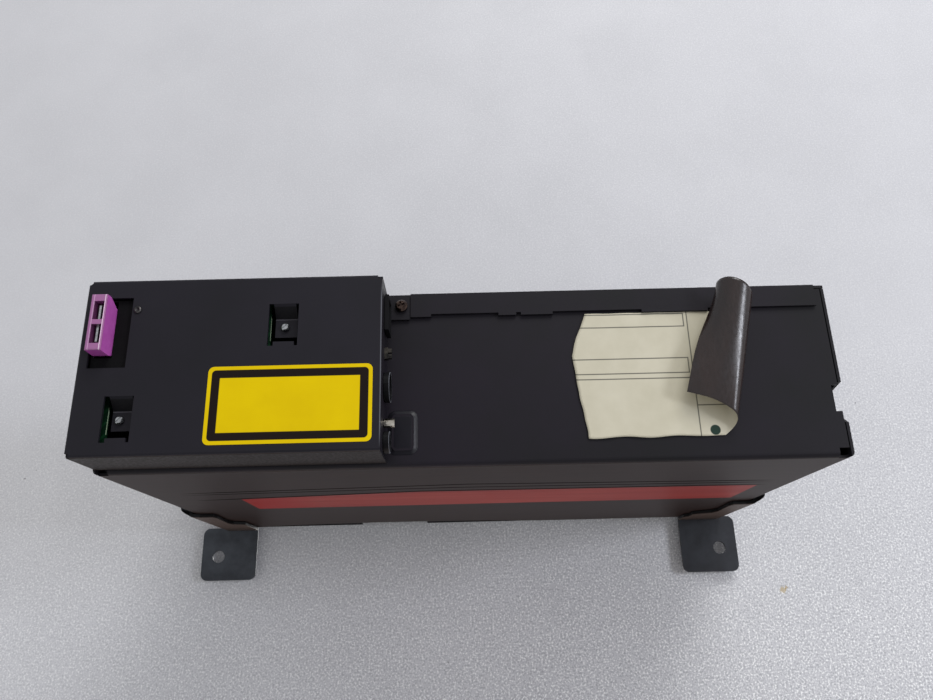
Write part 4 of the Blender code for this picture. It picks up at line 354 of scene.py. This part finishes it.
def printed_top_cover():
    """The same coating with screen print on the top face: a warm grey ground, a worn red band and three hair
    lines. The band is deepest at its tip and its tail, and the ink of the hair lines is quite matt."""
    material = powder_coated_steel("powder coated steel, printed", "#171619", "#1c1820")
    tree, shader, place, axes = parts_of(material)
    x, y, _ = axes
    top = within(tree, axes, TOP_FACE)
    brushed = add(tree, "Mapping", None, {"Vector": place, "Scale": (0.06, 1, 1)})
    cover(tree, shader, top, drifting(tree, brushed, "#1a1110", "#291d1a", 1.6, 4.0, 0.65, 0.2))
    band = product(tree, top, above(tree, lowest(tree, x, BAND_BOW), y),
                   above(tree, y, lowest(tree, x, BAND_FOOT)), within(tree, axes, BAND_SPAN))
    cover(tree, shader, band, drifting(tree, brushed, "#7a2523", "#973f38", 5, 5.0, 0.7, 0.2))
    cover(tree, shader, product(tree, band, within(tree, axes, BAND_TIP), 0.9), "#860f0b")
    cover(tree, shader, product(tree, band, within(tree, axes, BAND_TAIL), 0.55), "#7c1612")
    lines = [between(tree, combined(tree, "SUBTRACT", y, lowest(tree, x, line)), -half, half, 0.3)
             for line, half in HAIR_LINES]
    ink = product(tree, combined(tree, "MAXIMUM", *lines), top, within(tree, axes, HAIR_SPAN))
    cover(tree, shader, ink, "#060505")
    cover(tree, shader, top, 0.46, ROUGHNESS)
    cover(tree, shader, ink, 1.0, ROUGHNESS)
    cover(tree, shader, combined(tree, "MAXIMUM", ink, product(tree, top, 0.35)), 0.0, SPECULAR)
    return material


def pressed_steel():
    """The coating on the pressed pad, smooth from the die, and burnished along the shoulder on its right."""
    material = finish("powder coated steel, pressed", "#15151a", "#1a191f", 45, 0.9, 0.004, (0.34, 0.46),
                      Specular_IOR_Level=0.12)
    tree, shader, _, axes = parts_of(material)
    shoulder = {"X": (PAD["right"] - 0.5, PAD["right"] + 3, 0.5)}
    cover(tree, shader, within(tree, axes, shoulder), 0.34, SPECULAR)
    return material


def black_oxide_steel(name, dark, light):
    """Blackened bare steel plate: blue grey, a little metallic, rubbed brighter in cloudy patches. Where it
    lies on the case its face is brown with dust, and the sheared edge is nearly black: its own dark edge,
    with painted shade beside the plate."""
    material = finish(name, dark, light, 14, 0.8, 0.010, (0.44, 0.58), Metallic=0.35, Specular_IOR_Level=0.35)
    tree, shader, _, axes = parts_of(material)
    cover(tree, shader, within(tree, axes, BRACKET_ON_CASE), "#463a34")
    # The sheared edge: its own dark tone, with painted shade.
    cover(tree, shader, within(tree, axes, BRACKET_CUT_EDGE_SHADE), "#080708")
    return material


def moulded_abs(name, dark, light, gloss):
    """Moulded ABS: even colour with a fine spark-eroded grain that breaks up the shine."""
    return finish(name, dark, light, 30, 0.7, 0.02, gloss, Specular_IOR_Level=0.4)


def bezel_abs():
    """Moulded ABS of the front. Its narrow top edge, seen behind the arc of the cover, is a deep matt black:
    the moulding's own black, darkened further as painted shade in the gap behind the arc."""
    material = moulded_abs("moulded ABS", "#131315", "#1b1b1e", (0.40, 0.58))
    tree, shader, _, axes = parts_of(material)
    # Painted shade: the top edge made darker and matt.
    edge = within(tree, axes, BEZEL_TOP_SHADE)
    for value, socket in (("#050306", COLOUR), (0.9, ROUGHNESS), (0.0, SPECULAR)):
        cover(tree, shader, edge, value, socket)
    return material


def zinc_plated_steel():
    """Galvanised sheet: cool silver with cloudy crystals a few millimetres wide."""
    material = finish("zinc plated steel", "#8b9094", "#b9bdc0", 9, 1.2, 0.004, (0.28, 0.45), Metallic=1.0)
    tree, shader, place, _ = parts_of(material)
    crystals = add(tree, "TexVoronoi", {"feature": "F1"}, {"Vector": place, "Scale": 1 / (7 * MM)})
    shade = add(tree, "SeparateColor", None, {0: crystals.outputs["Color"]}).outputs[1]
    cover(tree, shader, product(tree, shade, 0.35), "#d5d9dc")
    return material


def bare_metal(name, dark, light, gloss, cloud=2.5):
    """A small metal part, plated or turned: full reflection, with faint stains and tool marks."""
    return finish(name, dark, light, cloud, 0.35, 0.003, gloss, Metallic=1.0)


def turned_steel(name, dark, light):
    """Ground steel rod: bright, with fine rings round the rod from the grinding wheel."""
    return finish(name, dark, light, 6, 0.5, 0.003, (0.15, 0.28), stretch=(2.5, 0.4, 0.4), Metallic=1.0)


def circuit_board():
    """Fibreglass board: green solder mask over paler tracks, and tinned pads, each with a near-black dot as
    painted shade for its hole. The sawn edges in the windows are green, with a pale stretch as a painted
    highlight where light would fall."""
    material = finish("glass fibre circuit board", "#061b0f", "#0a2616", 12, 0.6, 0.006, (0.26, 0.40),
                      Specular_IOR_Level=0.3)
    tree, shader, place, axes = parts_of(material)
    turn = math.radians(45)
    turned = add(tree, "Mapping", None, {"Vector": place, "Rotation": (0.0, turn, turn)})
    grid = 1 / (BOARD_GRID * MM)
    tracks = add(tree, "TexBrick", {"offset": 0.35, "squash": 0.6, "squash_frequency": 3}, {
        "Vector": turned, "Scale": grid, "Mortar Size": 0.05, "Mortar Smooth": 0.2, "Brick Width": 1.9,
        "Row Height": 0.42})
    cover(tree, shader, product(tree, tracks.outputs["Fac"], 0.5), "#123d22")
    pads = add(tree, "TexVoronoi", {"feature": "F1"}, {"Vector": place, "Scale": grid, "Randomness": 0.35})
    # Tinned pads, each with a near-black dot: painted shade for its hole.
    for radius, colour in ((0.17, "#b9b6a4"), (0.07, "#0d0d0c")):
        cover(tree, shader, combined(tree, "LESS_THAN", pads.outputs["Distance"], radius), colour)
    for wall, low, high in BOARD_CUTS:
        cut = {"X": (wall - 0.06, wall + 0.06, 0.02), "Z": (low, high, 0.1)}
        cover(tree, shader, within(tree, axes, cut), "#0b2014")
        # Painted highlight: a pale stretch on the sawn edge.
        cover(tree, shader, within(tree, axes, {**cut, "Y": BOARD_CUT_HIGHLIGHT}), "#a9bd9f")
    return material


def socket_plastic():
    """Black socket moulding with a painted highlight: a thin pale line round the outer edge of each round
    collar, where light would catch it."""
    material = finish("socket plastic, black", "#0e0e10", "#161618", 30, 0.7, 0.02, (0.42, 0.55),
                      Specular_IOR_Level=0.08)
    tree, shader, place, axes = parts_of(material)
    for height, radius in SOCKET_COLLARS:
        out = reach(tree, place, (axes["X"], SOCKET_Y, height))
        ring = between(tree, out, radius - COLLAR_HIGHLIGHT_WIDTH, radius + COLLAR_HIGHLIGHT_WIDTH, 0.05)
        # Painted highlight: a thin pale ring at the end of each collar.
        cover(tree, shader, product(tree, ring, within(tree, axes, COLLAR_HIGHLIGHT_END)), "#6d6f76")
    return material


def yellow_vinyl():
    """Blank vinyl label: a clean yellow field in a black-brown band with a thin yellow rim, a little glossy.
    The outline of the band has round corners: a place is in it while its distance past an inner rectangle
    stays under the radius of the corner."""
    material = finish("printed vinyl, blank", "#dcbc00", "#e2c300", 16, 0.8, 0.004, (0.30, 0.42),
                      Specular_IOR_Level=0.1)
    tree, shader, _, axes = parts_of(material)
    corner = PANEL["radius"] - PANEL_RIM * 0.4
    sides, squares = {}, []
    for axis, low, high in (("X", PANEL["left"], PANEL["right"]), ("Z", PANEL["low"], PANEL["high"])):
        sides[axis] = (low + PANEL_RIM, high - PANEL_RIM, PANEL_BLUR)
        half = (high - low) / 2 - PANEL_RIM - corner
        off = combined(tree, "SUBTRACT", axes[axis], (low + high) / 2 * MM)
        off = add(tree, "Math", {"operation": "ABSOLUTE"}, {0: off}).outputs[0]
        past = combined(tree, "MAXIMUM", combined(tree, "SUBTRACT", off, half * MM), 0.0)
        squares.append(product(tree, past, past))
    distance = add(tree, "Math", {"operation": "SQRT"}, {0: combined(tree, "ADD", *squares)}).outputs[0]
    rounded = between(tree, distance, -10, corner, PANEL_BLUR)
    outside = combined(tree, "SUBTRACT", 1.0, within(tree, axes, PANEL_FIELD))
    cover(tree, shader, product(tree, within(tree, axes, sides), rounded, outside), "#1c1411")
    return material


def printed_paper():
    """Aged coated paper: cream, mottled with age, with a thin ruled form and one green ink dot."""
    material = finish("aged label paper", "#c3bda8", "#ccc6b2", 14, 0.9, 0.006, (0.45, 0.6),
                      Specular_IOR_Level=0.35)
    tree, shader, place, axes = parts_of(material)
    lines = [within(tree, axes, {"X": (*across, FORM_BLUR), "Z": (*up, FORM_BLUR)})
             for across, up in FORM_LINES]
    ruled = product(tree, combined(tree, "MAXIMUM", *lines), within(tree, axes, LABEL_ON_WALL), 0.85)
    cover(tree, shader, ruled, "#3a3a34")
    cover(tree, shader, between(tree, reach(tree, place, INK_DOT), -10, INK_DOT_RADIUS, 0.12), "#00291c")
    return material


def adhesive_back():
    """The back of the label: dark brown dried adhesive, silky, silver where the roll faces the window, with
    dark spots where it has flaked."""
    material = finish("dried adhesive film", "#160a08", "#23130e", 7, 0.7, 0.005, (0.23, 0.36),
                      stretch=(1.0, 1.0, 0.3), Specular_IOR_Level=0.62)
    specks(material, 6, 0.3, "#141210")
    return material


def tinted_polycarbonate():
    """Clear moulded plastic with violet dye: magenta on the flanks and pale pink on the thin rim. A painted
    highlight runs in pale pink along the left edge of the wells and in near white toward the right edge of
    the top, and the two wells get painted shade in deep plum."""
    material = finish("violet polycarbonate", "#bd56b6", "#cb64c4", 5, 0.5, 0.002, (0.10, 0.20),
                      Transmission_Weight=0.12, IOR=1.58)
    tree, shader, _, axes = parts_of(material)
    top, (near, far), wells = FUSE["top"], FUSE["well_x"], FUSE["wells"]
    rim = {"Y": (top - 0.5, top + 5, 0.05)}
    cover(tree, shader, within(tree, axes, rim), "#a5679b")
    # Painted highlight: a pale pink line along the left edge of the wells.
    near_highlight = within(tree, axes, {**rim, "X": (near - 0.22, near + 0.06, 0.05)})
    cover(tree, shader, product(tree, near_highlight, 0.7), "#d9aad0")
    # Painted highlight: a near white line toward the right edge of the top.
    cover(tree, shader, within(tree, axes, {**rim, "X": (far + 0.02, far + 0.30, 0.05)}), "#f3d3ec")
    # Painted shade: deep plum in the two wells.
    inside = {"X": (near - 0.1, far + 0.1, 0.03), "Y": (FUSE["floor"] - 1, top - 0.35, 0.1),
              "Z": (wells[0][0], wells[1][1], 0.03)}
    cover(tree, shader, within(tree, axes, inside), "#66365c")
    return material


def rubber():
    """Butyl rubber: deep black, matt, with a faint grey bloom."""
    return finish("butyl rubber", "#0c0c0d", "#1a1a1b", 6, 0.8, 0.03, (0.7, 0.9), Specular_IOR_Level=0.3)


def lacquered_floor():
    """Pale grey metallic lacquer: a plain tone with a fine sparkle painted in as white specks, which are
    painted glints, and darker grains between, both stronger toward the eye and the right, a small ochre
    stain and a few dark specks. From behind it is clear."""
    material = finish("pale grey board", "#cacace", "#cfcfd3", 60, 0.8, 0.012, (0.5, 0.7),
                      Specular_IOR_Level=0.25)
    tree, shader, place, axes = parts_of(material)
    grit = add(tree, "TexNoise", None, {
        "Vector": place, "Scale": 1 / (FLOOR_GRAIN * MM), "Detail": 1.0, "Roughness": 0.6}).outputs[0]
    growth = [add(tree, "MapRange", None, {
        "Value": axes[axis], "From Min": start * MM, "From Max": end * MM, "To Min": least}).outputs[0]
        for axis, (start, end), least in (("Z", GRAIN_NEARER, 0.20), ("X", GRAIN_RIGHTER, 0.50))]
    # The white specks are painted glints of the lacquer; the grey ones are its darker grain.
    for start, end, strength, colour in ((0.54, 0.68, 0.85, "#ffffff"), (0.46, 0.32, 0.55, "#8f9096")):
        grains = add(tree, "MapRange", None, {"Value": grit, "From Min": start, "From Max": end}).outputs[0]
        cover(tree, shader, product(tree, grains, *growth, strength), colour)
    for left, height, radius, strength, colour in FLOOR_MARKS:
        out = reach(tree, place, (left, axes["Y"], height))
        ragged = add(tree, "Math", {"operation": "MULTIPLY_ADD"}, {0: grit, 1: 2 * MM, 2: out}).outputs[0]
        cover(tree, shader, product(tree, between(tree, ragged, -10, radius + 1, 0.25), strength), colour)
    behind = add(tree, "NewGeometry").outputs["Backfacing"]
    seen = add(tree, "MixShader", None, {0: behind, 1: shader, 2: add(tree, "BsdfTransparent")})
    tree.links.new(seen.outputs[0], tree.nodes["Material Output"].inputs["Surface"])
    return material


# Tools for shapes.

def lattice(rows, columns, closed=False):
    """The four-sided faces of a grid of rows by columns points, joined round from the last column to the
    first if closed."""
    last = columns if closed else columns - 1
    row, column = np.meshgrid(np.arange(rows - 1), np.arange(last), indexing="ij")
    after = (column + 1) % columns
    low, high = row * columns, (row + 1) * columns
    return np.stack([low + column, low + after, high + after, high + column], -1).reshape(-1, 4)


def piece(name, points, faces, materials, body, marks=None, smooth=True):
    """Puts points in metres and faces into a mesh, joins doubled points at poles and seams, turns the faces
    outward and rides it on a body."""
    mesh = bpy.data.meshes.new(name)
    mesh.from_pydata(np.asarray(points).reshape(-1, 3).tolist(), [], np.asarray(faces).tolist())
    for material in materials:
        mesh.materials.append(material)
    if marks is not None:
        mesh.polygons.foreach_set("material_index", np.asarray(marks, dtype=np.int32))
    work = bmesh.new()
    work.from_mesh(mesh)
    bmesh.ops.remove_doubles(work, verts=work.verts, dist=1e-6)
    bmesh.ops.recalc_face_normals(work, faces=work.faces)
    work.to_mesh(mesh)
    work.free()
    mesh.polygons.foreach_set("use_smooth", np.full(len(mesh.polygons), smooth))
    made = bpy.data.objects.new(name, mesh)
    bpy.context.scene.collection.objects.link(made)
    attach(made, body)
    return made


def shell(front, back):
    """A closed body between two sheets of points of the same rows and columns: both grids, and a strip of
    faces round the rim. Gives the points, the faces, and a mark per face: zero for the front, one for the
    rest."""
    height, width = front.shape[:2]
    count = height * width
    faces = lattice(height, width)
    index = np.arange(count).reshape(height, width)
    rim = np.concatenate([index[0, :], index[1:, -1], index[-1, -2::-1], index[-2:0:-1, 0]])
    after = np.roll(rim, -1)
    edge = np.stack([rim, after, after + count, rim + count], -1)
    marks = np.concatenate([np.zeros(len(faces)), np.ones(len(faces)), np.ones(len(edge))])
    points = np.concatenate([front.reshape(-1, 3), back.reshape(-1, 3)])
    return points, np.concatenate([faces, faces + count, edge]), marks


def turned_piece(name, profile, centre, material, body, sides=32):
    """A body of revolution about the depth axis: radius and height come from the profile, the angle runs
    round in equal steps."""
    radius, height = (np.array(profile, float).T)[:, :, None]
    angle = np.linspace(0, 2 * math.pi, sides, endpoint=False)[None, :]
    points = np.stack([centre[0] + radius * np.cos(angle), centre[1] + height + 0 * angle,
                       centre[2] + radius * np.sin(angle)], -1)
    return piece(name, points * MM, lattice(len(profile), sides, True), [material], body)


def rounded_loop(left, right, low, high, radius, steps):
    """A rectangle with quarter circles at its corners, as one closed loop of points: corner centre plus
    radius times the direction."""
    turn = np.radians(np.concatenate([start + np.linspace(0, 90, steps) for start in (0, 90, 180, 270)]))
    centre_x = np.repeat([right - radius, left + radius, left + radius, right - radius], steps)
    centre_z = np.repeat([high - radius, high - radius, low + radius, low + radius], steps)
    return np.stack([centre_x + radius * np.cos(turn), centre_z + radius * np.sin(turn)], -1)


def plate(name, size, base, profile, shrink, steps, material, smooth):
    """A thin plate with round corners: its outline is carried inward and up a profile of (inset, rise), its
    corner radius goes down by shrink times the inset, and a point in the middle closes it below and
    above."""
    left, right, low, high = [size[side] for side in ("left", "right", "low", "high")]
    rings = []
    for inset, rise in profile:
        radius = max(size["radius"] - inset * shrink, 0.05)
        loop = rounded_loop(left + inset, right - inset, low + inset, high - inset, radius, steps)
        rings.append(np.stack([loop[:, 0], np.full(len(loop), base + rise), loop[:, 1]], -1))
    bottom, top = [np.tile(((left + right) / 2, base + rise, (low + high) / 2), (len(rings[0]), 1))
                   for rise in (profile[0][1], profile[-1][1])]
    points = np.array([bottom, *rings, top])
    faces = lattice(len(points), points.shape[1], True)
    return piece(name, points * MM, faces, [material], "case", smooth=smooth)


# New pieces.

def vinyl_panel():
    """A thin plate of vinyl on the raised box: its outline is carried up a steep rim, then flat inward."""
    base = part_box("interface_cover")[1].y / MM
    profile = [(inset, rise * PANEL_THICKNESS) for inset, rise in PANEL_PROFILE]
    return plate("blank_panel", PANEL, base + GLUE, profile, 1.0, 8, yellow_vinyl(), False)


def pressed_pad():
    """The pad in the rear wall, with the soft shoulder that a press leaves: the outline is carried inward
    and up half a cosine wave."""
    width = PAD_OUTSIDE + PAD_INSIDE
    profile = [(width * step - PAD_OUTSIDE, PAD_RISE * (1 - math.cos(math.pi * step)) / 2)
               for step in np.linspace(0, 1, 9)]
    return plate("pressed_pad", PAD, PAD_FOOT, profile, 0.8, 10, pressed_steel(), True)


def rolled_label():
    """The paper label: a sheet over two parameters, along the height and along the length. Left of the
    slanted fold line it lies on the wall, with a torn edge and faint ripples from sine waves that fade
    inward. Right of it the sheet turns through two arcs in a row: a tight one, then a wide one. On each arc
    a point moves by the radius times the change of the sine, and rises by the radius times the change of the
    cosine. At the low end the wide arc is as tight as the first, which makes a tube; at the high end it is
    nearly straight. The tube's turns are pushed out of its end by the lean times the squared sine of half
    the angle."""
    size = {key: value * MM for key, value in LABEL.items()}
    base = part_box("peeled_label")[0].y + size["gap"]
    rows, flat_columns, roll_columns = 61, 50, 120
    share = np.linspace(0, 1, rows)[:, None]
    on_the_way = lambda name: size[name + "_low"] + (size[name + "_high"] - size[name + "_low"]) * share

    fold_x = on_the_way("fold")
    fold_z = size["low"] + (size["high"] - size["low"]) * share
    heights, edges = np.array(LABEL_EDGE).T * MM
    torn = size["tear"] * np.sin(17 * share) + size["fray"] * np.sin(41 * share + 1) * share
    left = np.interp(fold_z, heights, edges) + torn
    step = np.linspace(0, 1, flat_columns, endpoint=False)[None, :]
    fade = np.exp(-8 * np.minimum(share, 1 - share))
    ripple = size["ripple"] * (1 + np.sin(9 * step * math.pi + 4 * share)) * fade
    ripple = ripple + size["lift"] * np.exp(-14 * step) * (0.5 + 0.5 * np.sin(13 * share))
    wave = size["wave"] * np.sin(5 * step * math.pi + 0.6) * np.maximum(share - 0.5, 0) ** 3
    flat = np.stack([left + (fold_x - left) * step, base + ripple * (1 - step ** 6),
                     fold_z + wave * (1 - step ** 4)], -1)

    past = on_the_way("flap") * np.linspace(0, 1, roll_columns)[None, :]
    corner = 1 - (1 - np.minimum(past / size["corner_length"], 1)) ** 2
    line = np.array([size["fold_high"] - size["fold_low"], size["high"] - size["low"]])
    line = line / np.linalg.norm(line)
    start = np.array([size["fold_low"], size["low"]])
    point = np.stack([fold_x + past - start[0], fold_z - size["corner"] * corner * share ** 2 - start[1]], -1)
    along, off = point @ line, point @ np.array([line[1], -line[0]])

    radius = on_the_way("roll")
    limit = np.radians(LABEL_TURN + LABEL_TURN_MORE * share)
    wide = size["wide_low"] * (size["wide_high"] / size["wide_low"]) ** (share ** LABEL_OPENING)
    first = np.minimum(off / radius, limit)
    second = first + np.maximum(off - radius * limit, 0) / wide
    side = radius * np.sin(first) + wide * (np.sin(second) - np.sin(first))
    rise = radius * (1 - np.cos(first)) + wide * (np.cos(first) - np.cos(second))
    along = along - size["lean"] * np.sin(second / 2) ** 2 * second / math.pi * (1 - share)
    rolled = np.stack([start[0] + line[0] * along + line[1] * side, base + rise,
                       start[1] + line[1] * along - line[0] * side], -1)

    sheet = np.concatenate([flat, rolled], 1)
    normal = np.cross(np.gradient(sheet, axis=0), np.gradient(sheet, axis=1))
    normal /= np.linalg.norm(normal, axis=-1, keepdims=True)
    points, faces, marks = shell(sheet + normal * size["thickness"], sheet)
    made = piece("rolled_label", points, faces, [printed_paper(), adhesive_back()], "case", marks)
    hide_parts("peeled_label")
    return made


def clear_fuse():
    """The body of the fuse: an upper and a lower sheet over the same grid of lines. The upper one lies flat
    at the top, and drops to the well floor inside the two wells and a little at the outer edge. The lower
    one is the foot, cut away at both ends."""
    wall, edge, wells = FUSE["wall"], FUSE["edge"], FUSE["wells"]
    lines = []
    spans = (FUSE["left"], FUSE["right"], (FUSE["well_x"],)), (FUSE["low"], FUSE["high"], wells)
    for low, high, pits in spans:
        cuts = [end + step for pit in pits for end, step in zip(pit * 2, (0, 0, wall, -wall))]
        lines.append(np.sort(np.array([low, low + edge, *cuts, high - edge, high])))
    x, z = np.meshgrid(*lines, indexing="ij")
    inside = lambda value, pit: (value > pit[0] + wall / 2) & (value < pit[1] - wall / 2)
    deep = inside(x, FUSE["well_x"]) & (inside(z, wells[0]) | inside(z, wells[1]))
    rim = (x == x.min()) | (x == x.max()) | (z == z.min()) | (z == z.max())
    top = FUSE["top"] - (FUSE["top"] - FUSE["floor"]) * deep - edge * 0.7 * rim
    foot = np.interp(z, *np.array(FUSE_FOOT).T)
    points, faces, _ = shell(np.stack([x, top, z], -1) * MM, np.stack([x, foot, z], -1) * MM)
    made = piece("clear_fuse", points, faces, [tinted_polycarbonate()], "fuse", smooth=False)
    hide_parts("fuse_body")
    return made


def small_ring_screw():
    """A small dark screw beside the fuse: a domed head with a hollow middle, turned from one profile."""
    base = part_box("interface_cover")[1].y / MM
    centre = (SCREW_PLACE[0], base + GLUE, SCREW_PLACE[1])
    metal = bare_metal("blackened screw steel", "#2c2b2d", "#5a5756", (0.3, 0.5))
    return turned_piece("case_rivet", SCREW_PROFILE, centre, metal, "case")


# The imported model.

def dress():
    """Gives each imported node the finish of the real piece."""
    bracket_screws = [f"bracket_{side}_screw_{number}" for side in ("left", "right") for number in (1, 2)]
    finishes = [
        (printed_top_cover(), ["top_cover"]),
        (powder_coated_steel("powder coated steel", "#171619", "#1c1820"),
         ["bottom_cover", "connector_panel"]),
        (raised_box_steel(), ["interface_cover"]),
        # The left bracket gets a lighter copy of the steel, painted light, and the right one a darker copy,
        # painted shade.
        (black_oxide_steel("black oxide steel, rubbed", "#34373c", "#4b4f55"), ["bracket_left"]),
        (black_oxide_steel("black oxide steel", "#222327", "#303237"), ["bracket_right"]),
        (zinc_plated_steel(), ["mechanism_frame", "lift_carriage", "clamp_arm"]),
        (bare_metal("zinc plated screw", "#9a9c9d", "#c6c8c9", (0.22, 0.36), 1.2),
         [*bracket_screws, "tongue_screw_1", "tongue_screw_2", "fuse_element"]),
        (bare_metal("dark chromate on steel", "#2d2523", "#5a4b43", (0.22, 0.36), 1.5), ["foot_screw"]),
        (bare_metal("tarnished pins", "#2b2a2a", "#59554f", (0.3, 0.45)), ["pin_header"]),
        (bare_metal("nickel plate", "#8f887b", "#d8d2c6", (0.10, 0.18), 3.5), ["jack_post"]),
        (socket_plastic(), ["power_socket", "bus_socket", "aux_socket"]),
        (bezel_abs(), ["front_bezel"]),
        (moulded_abs("moulded ABS, magazine", "#232428", "#2c2d32", (0.36, 0.5)), ["magazine_shell"]),
        (moulded_abs("moulded ABS, button", "#33343a", "#3e3f45", (0.28, 0.4)), ["eject_button"]),
        (finish("glass filled nylon, matt", "#09090a", "#0f0f10", 20, 0.7, 0.02, (0.6, 0.8),
                Specular_IOR_Level=0.08), ["fuse_holder", "interface_frame"]),
        (moulded_abs("glass filled nylon", "#0f0f11", "#19191b", (0.38, 0.55)),
         ["turntable", "cam_slide", "eject_switch", "angle_dial_left", "angle_dial_right"]),
        (moulded_abs("polystyrene, grey", "#55575a", "#63656a", (0.30, 0.42)),
         [f"tray_{number}" for number in range(1, 7)]),
        (moulded_abs("acetal, natural", "#c9c6b8", "#dcd9cc", (0.26, 0.38)),
         ["lift_gear", "motor_pinion", "clamper"]),
        (circuit_board(), ["interface_board", "front_board", "main_board"]),
        (bare_metal("drawn steel can", "#8f9193", "#b4b6b8", (0.25, 0.4), 8),
         ["lift_motor", "spindle_motor", "sled_motor"]),
        (turned_steel("ground steel rod", "#b4b6b8", "#d8dadb"), ["sled_rod_1", "sled_rod_2", "lead_screw"]),
        (moulded_abs("die cast zinc, painted", "#2a2b2d", "#3a3b3e", (0.35, 0.5)), ["pickup_sled"]),
        (moulded_abs("epoxy moulding", "#101011", "#191919", (0.5, 0.65)), ["control_chip"]),
        (moulded_abs("shrink sleeve", "#10151f", "#1a2231", (0.25, 0.35)), ["filter_capacitor"]),
        (rubber(), [f"damper_{number}" for number in range(1, 5)]),
    ]
    for material, names in finishes:
        for name in names:
            for slot in nodes[name].material_slots:
                slot.material = material


# Floor, light and camera.

def floor():
    """The board that the unit stands on: a square sheet just in front of its front edge, with its face to
    the unit."""
    lines = 11
    side = np.linspace(-FLOOR_HALF, FLOOR_HALF, lines)
    across, along = np.meshgrid(side, side, indexing="ij")
    points = np.stack([across, np.full_like(across, FLOOR_LEVEL), along], -1) * MM
    mesh = bpy.data.meshes.new("floor")
    mesh.from_pydata(points.reshape(-1, 3).tolist(), [], lattice(lines, lines).tolist())
    mesh.materials.append(lacquered_floor())
    made = bpy.data.objects.new("floor", mesh)
    bpy.context.scene.collection.objects.link(made)
    made.visible_shadow = False
    made.visible_diffuse = False
    return made


def lamp(name, place, power, size, colour):
    """A square soft lamp that looks at the unit."""
    light = bpy.data.lights.new(name, "AREA")
    light.energy = power
    light.size = size
    light.color = linear(colour)[:3]
    made = bpy.data.objects.new(name, light)
    turn = (Vector(place) - Vector(LAMP_TARGET)).to_track_quat("Z", "Y")
    made.matrix_world = Matrix.Translation(place) @ turn.to_matrix().to_4x4()
    bpy.context.scene.collection.objects.link(made)


def studio():
    """Even pale surroundings: a soft light all round, and a pale tone where the eye or a reflection meets
    it."""
    world = bpy.data.worlds.new("studio")
    world.use_nodes = True
    tree = world.node_tree
    tree.nodes.clear()
    path = add(tree, "LightPath").outputs
    rays = [path["Is Camera Ray"], path["Is Glossy Ray"], path["Is Transmission Ray"]]
    light = add(tree, "Background", None, {"Color": "#ffffff", "Strength": ROOM_LIGHT})
    pale = add(tree, "Background", None, {"Color": "#cdced2", "Strength": 1.0})
    seen = add(tree, "MixShader", None, {0: combined(tree, "MAXIMUM", *rays), 1: light, 2: pale})
    add(tree, "OutputWorld", None, {"Surface": seen})
    bpy.context.scene.world = world
    for values in LAMPS:
        lamp(*values)


def camera():
    """The photograph's place and direction."""
    eye = bpy.data.objects.new("camera", bpy.data.cameras.new("camera"))
    eye.data.lens = CAMERA_LENS
    eye.data.sensor_width = CAMERA_SENSOR
    eye.data.clip_start = 0.01
    axes = zip(CAMERA_RIGHT, CAMERA_DOWN, CAMERA_FORWARD, CAMERA_PLACE)
    rows = [(right, -down, -forward, place) for right, down, forward, place in axes]
    eye.matrix_world = Matrix([*rows, (0, 0, 0, 1)])
    bpy.context.scene.collection.objects.link(eye)
    bpy.context.scene.camera = eye


dress()
vinyl_panel()
rolled_label()
clear_fuse()
pressed_pad()
small_ring_screw()
floor()
studio()
camera()
bpy.context.scene.view_settings.view_transform = "Standard"

bpy.context.view_layer.update()
